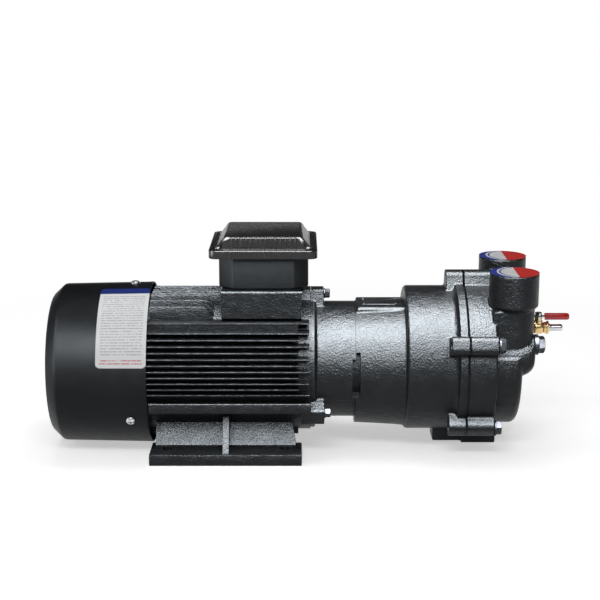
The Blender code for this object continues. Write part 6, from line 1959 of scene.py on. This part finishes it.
# Studio
@dataclass
class Studio:
    """Pale floor and surroundings, soft lamps and the camera."""

    camera_at: Point3 = (-0.0149, -1.6728, 0.5639)
    pitch: float = 13.0
    lens: float = 84.0
    sensor: float = 36.0
    floor_size: float = 16.0
    glow: float = 0.48
    white_from: Point = (0.50, 1.0)
    sky: float = 0.22
    zenith: float = 0.05
    horizon: Point = (0.0, 0.06)
    aim: Point3 = (0.0, 0.0, 0.12)

    def floor(self) -> None:
        """The floor, white to the camera and in reflections, with the shadow kept near the object."""
        half = self.floor_size / 2
        bm = bmesh.new()
        bm.faces.new([bm.verts.new((x, y, -0.0002)) for x, y in regular(half * sqrt(2), 4, 225)])
        plane = new_object(bm, "studio_floor")
        made = Surface("studio floor", (0.86, 0.86, 0.86), 0.9)
        made.dress(Specular_IOR_Level=0.0)
        seen = made.seen("Camera", "Glossy", "Transmission")
        near = made.plugged("ShaderNodeEmission", Strength=made.math("MULTIPLY", seen, self.glow))
        lit = made.node("ShaderNodeAddShader", made.shader.outputs[0], near).outputs[0]
        length = made.node("ShaderNodeVectorMath", made.where, operation="LENGTH").outputs["Value"]
        share = made.math("MULTIPLY", made.span(length, 0, 1, *self.white_from), seen)
        blend = made.node("ShaderNodeMixShader", share, lit, made.plugged("ShaderNodeEmission")).outputs[0]
        made.link(blend, made.tree.nodes["Material Output"].inputs["Surface"])
        plane.data.materials.append(made.material)

    def world(self) -> None:
        """White to the camera and low in reflections, dark overhead in them, and soft grey as light."""
        world = bpy.data.worlds.new("studio")
        bpy.context.scene.world = world
        world.use_nodes = True
        made = Nodes(world.node_tree)
        where = made.node("ShaderNodeTexCoord").outputs["Generated"]
        height = made.node("ShaderNodeSeparateXYZ", where).outputs[2]
        mirrored = made.span(height, 1.0, self.zenith, *self.horizon)
        strength = made.span(made.seen("Glossy", "Transmission"), self.sky, mirrored, 0.0, 1.0)
        strength = made.span(made.seen("Camera"), strength, 1.0, 0.0, 1.0)
        background = made.tree.nodes["Background"]
        background.inputs["Color"].default_value = (1, 1, 1, 1)
        made.link(strength, background.inputs["Strength"])

    def lamp(self, name: str, at: Point3, aim: Point3, size: Point, power: float) -> Thing:
        """One soft area lamp.

        Args:
            name: its name.
            at: where it hangs.
            aim: the point it faces.
            size: width and height.
            power: its power in watts.

        Returns:
            The lamp.
        """
        light = bpy.data.lights.new(name, "AREA")
        light.shape = "RECTANGLE"
        light.size, light.size_y = size
        light.energy = power
        made = linked(name, light)
        made.location = at
        made.rotation_euler = (Vector(aim) - Vector(at)).to_track_quat("-Z", "Y").to_euler()
        return made

    def soft_box(self, name: str, elevation: float, azimuth: float, distance: float, size: Point, radiance: float,
                 finishes: Sequence[Material]) -> None:
        """A large soft box that shows only as gloss, on some finishes.

        Args:
            name: its name.
            elevation: its height over the horizon in degrees.
            azimuth: its turn from the front in degrees, positive to the right.
            distance: its distance in metres.
            size: width and height.
            radiance: how bright it looks, where white paper is 1.
            finishes: the finishes that it shows in.
        """
        level = distance * cos(radians(elevation))
        middle = Vector(self.aim)
        at = middle + Vector((level * sin(radians(azimuth)), -level * cos(radians(azimuth)),
                              distance * sin(radians(elevation))))
        made = self.lamp(name, tuple(at), tuple(middle), size, radiance * pi * size[0] * size[1])
        made.visible_diffuse = made.visible_camera = False
        shown = bpy.data.collections.new(name)
        for thing in bpy.context.scene.objects:
            if thing.type == "MESH" and thing.data.materials and thing.data.materials[0] in finishes:
                shown.objects.link(thing)
        made.light_linking.receiver_collection = shown

    def soft_boxes(self, finishes: Finishes) -> None:
        """The soft boxes whose reflections lie on the painted pieces."""
        cast = [finishes[Slot.CAST], finishes[Slot.BLACK_STEEL]]
        smooth = [finishes[Slot.SATIN], finishes[Slot.GREY], finishes[Slot.GLOSS]]
        self.soft_box("gloss_top", 72, 0, 1.6, (1.7, 1.10), 72, cast)
        self.soft_box("gloss_front", 36, 0, 1.9, (1.8, 0.95), 34, cast + smooth)
        self.soft_box("gloss_left", 20, -66, 1.0, (0.6, 0.9), 9, smooth)

    def camera(self) -> None:
        """The camera at the photograph's place."""
        lens = bpy.data.cameras.new("camera")
        lens.lens, lens.sensor_width = self.lens, self.sensor
        lens.clip_start, lens.clip_end = 0.05, 50
        made = linked("camera", lens)
        made.location = self.camera_at
        made.rotation_euler = (pi / 2 - radians(self.pitch), 0, 0)
        bpy.context.scene.camera = made

    def build(self) -> None:
        """Set up the whole studio."""
        bpy.context.scene.view_settings.view_transform = "Standard"
        self.camera()
        self.floor()
        self.world()
        self.lamp("key", (-0.15, -1.62, 1.68), self.aim, (1.5, 0.42), 16)
        self.lamp("overhead", (0.0, 0.25, 1.9), self.aim, (1.4, 0.8), 10)
        self.lamp("left", (-1.7, -0.5, 0.75), self.aim, (0.5, 0.9), 5)


def main() -> None:
    """Build the studio and the machine in order."""
    logging.basicConfig(level=logging.INFO, format="%(name)s: %(message)s")
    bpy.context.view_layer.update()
    studio = Studio()
    studio.build()
    finishes = Finishes()
    finishes.dress_nodes()
    copies = scatter_tree()
    FanCowl().build(finishes, copies)
    MotorFrame().build(finishes)
    TerminalBox().build(finishes, copies)
    DriveShield().build(finishes, copies)
    chamber = Chamber()
    PumpCasing().build(finishes, chamber)
    cover = PumpCover()
    cover.build(finishes, copies, chamber)
    Trim().build(finishes, copies, cover)
    ServiceValve().build(finishes)
    studio.soft_boxes(finishes)


if __name__ == "__main__":
    main()
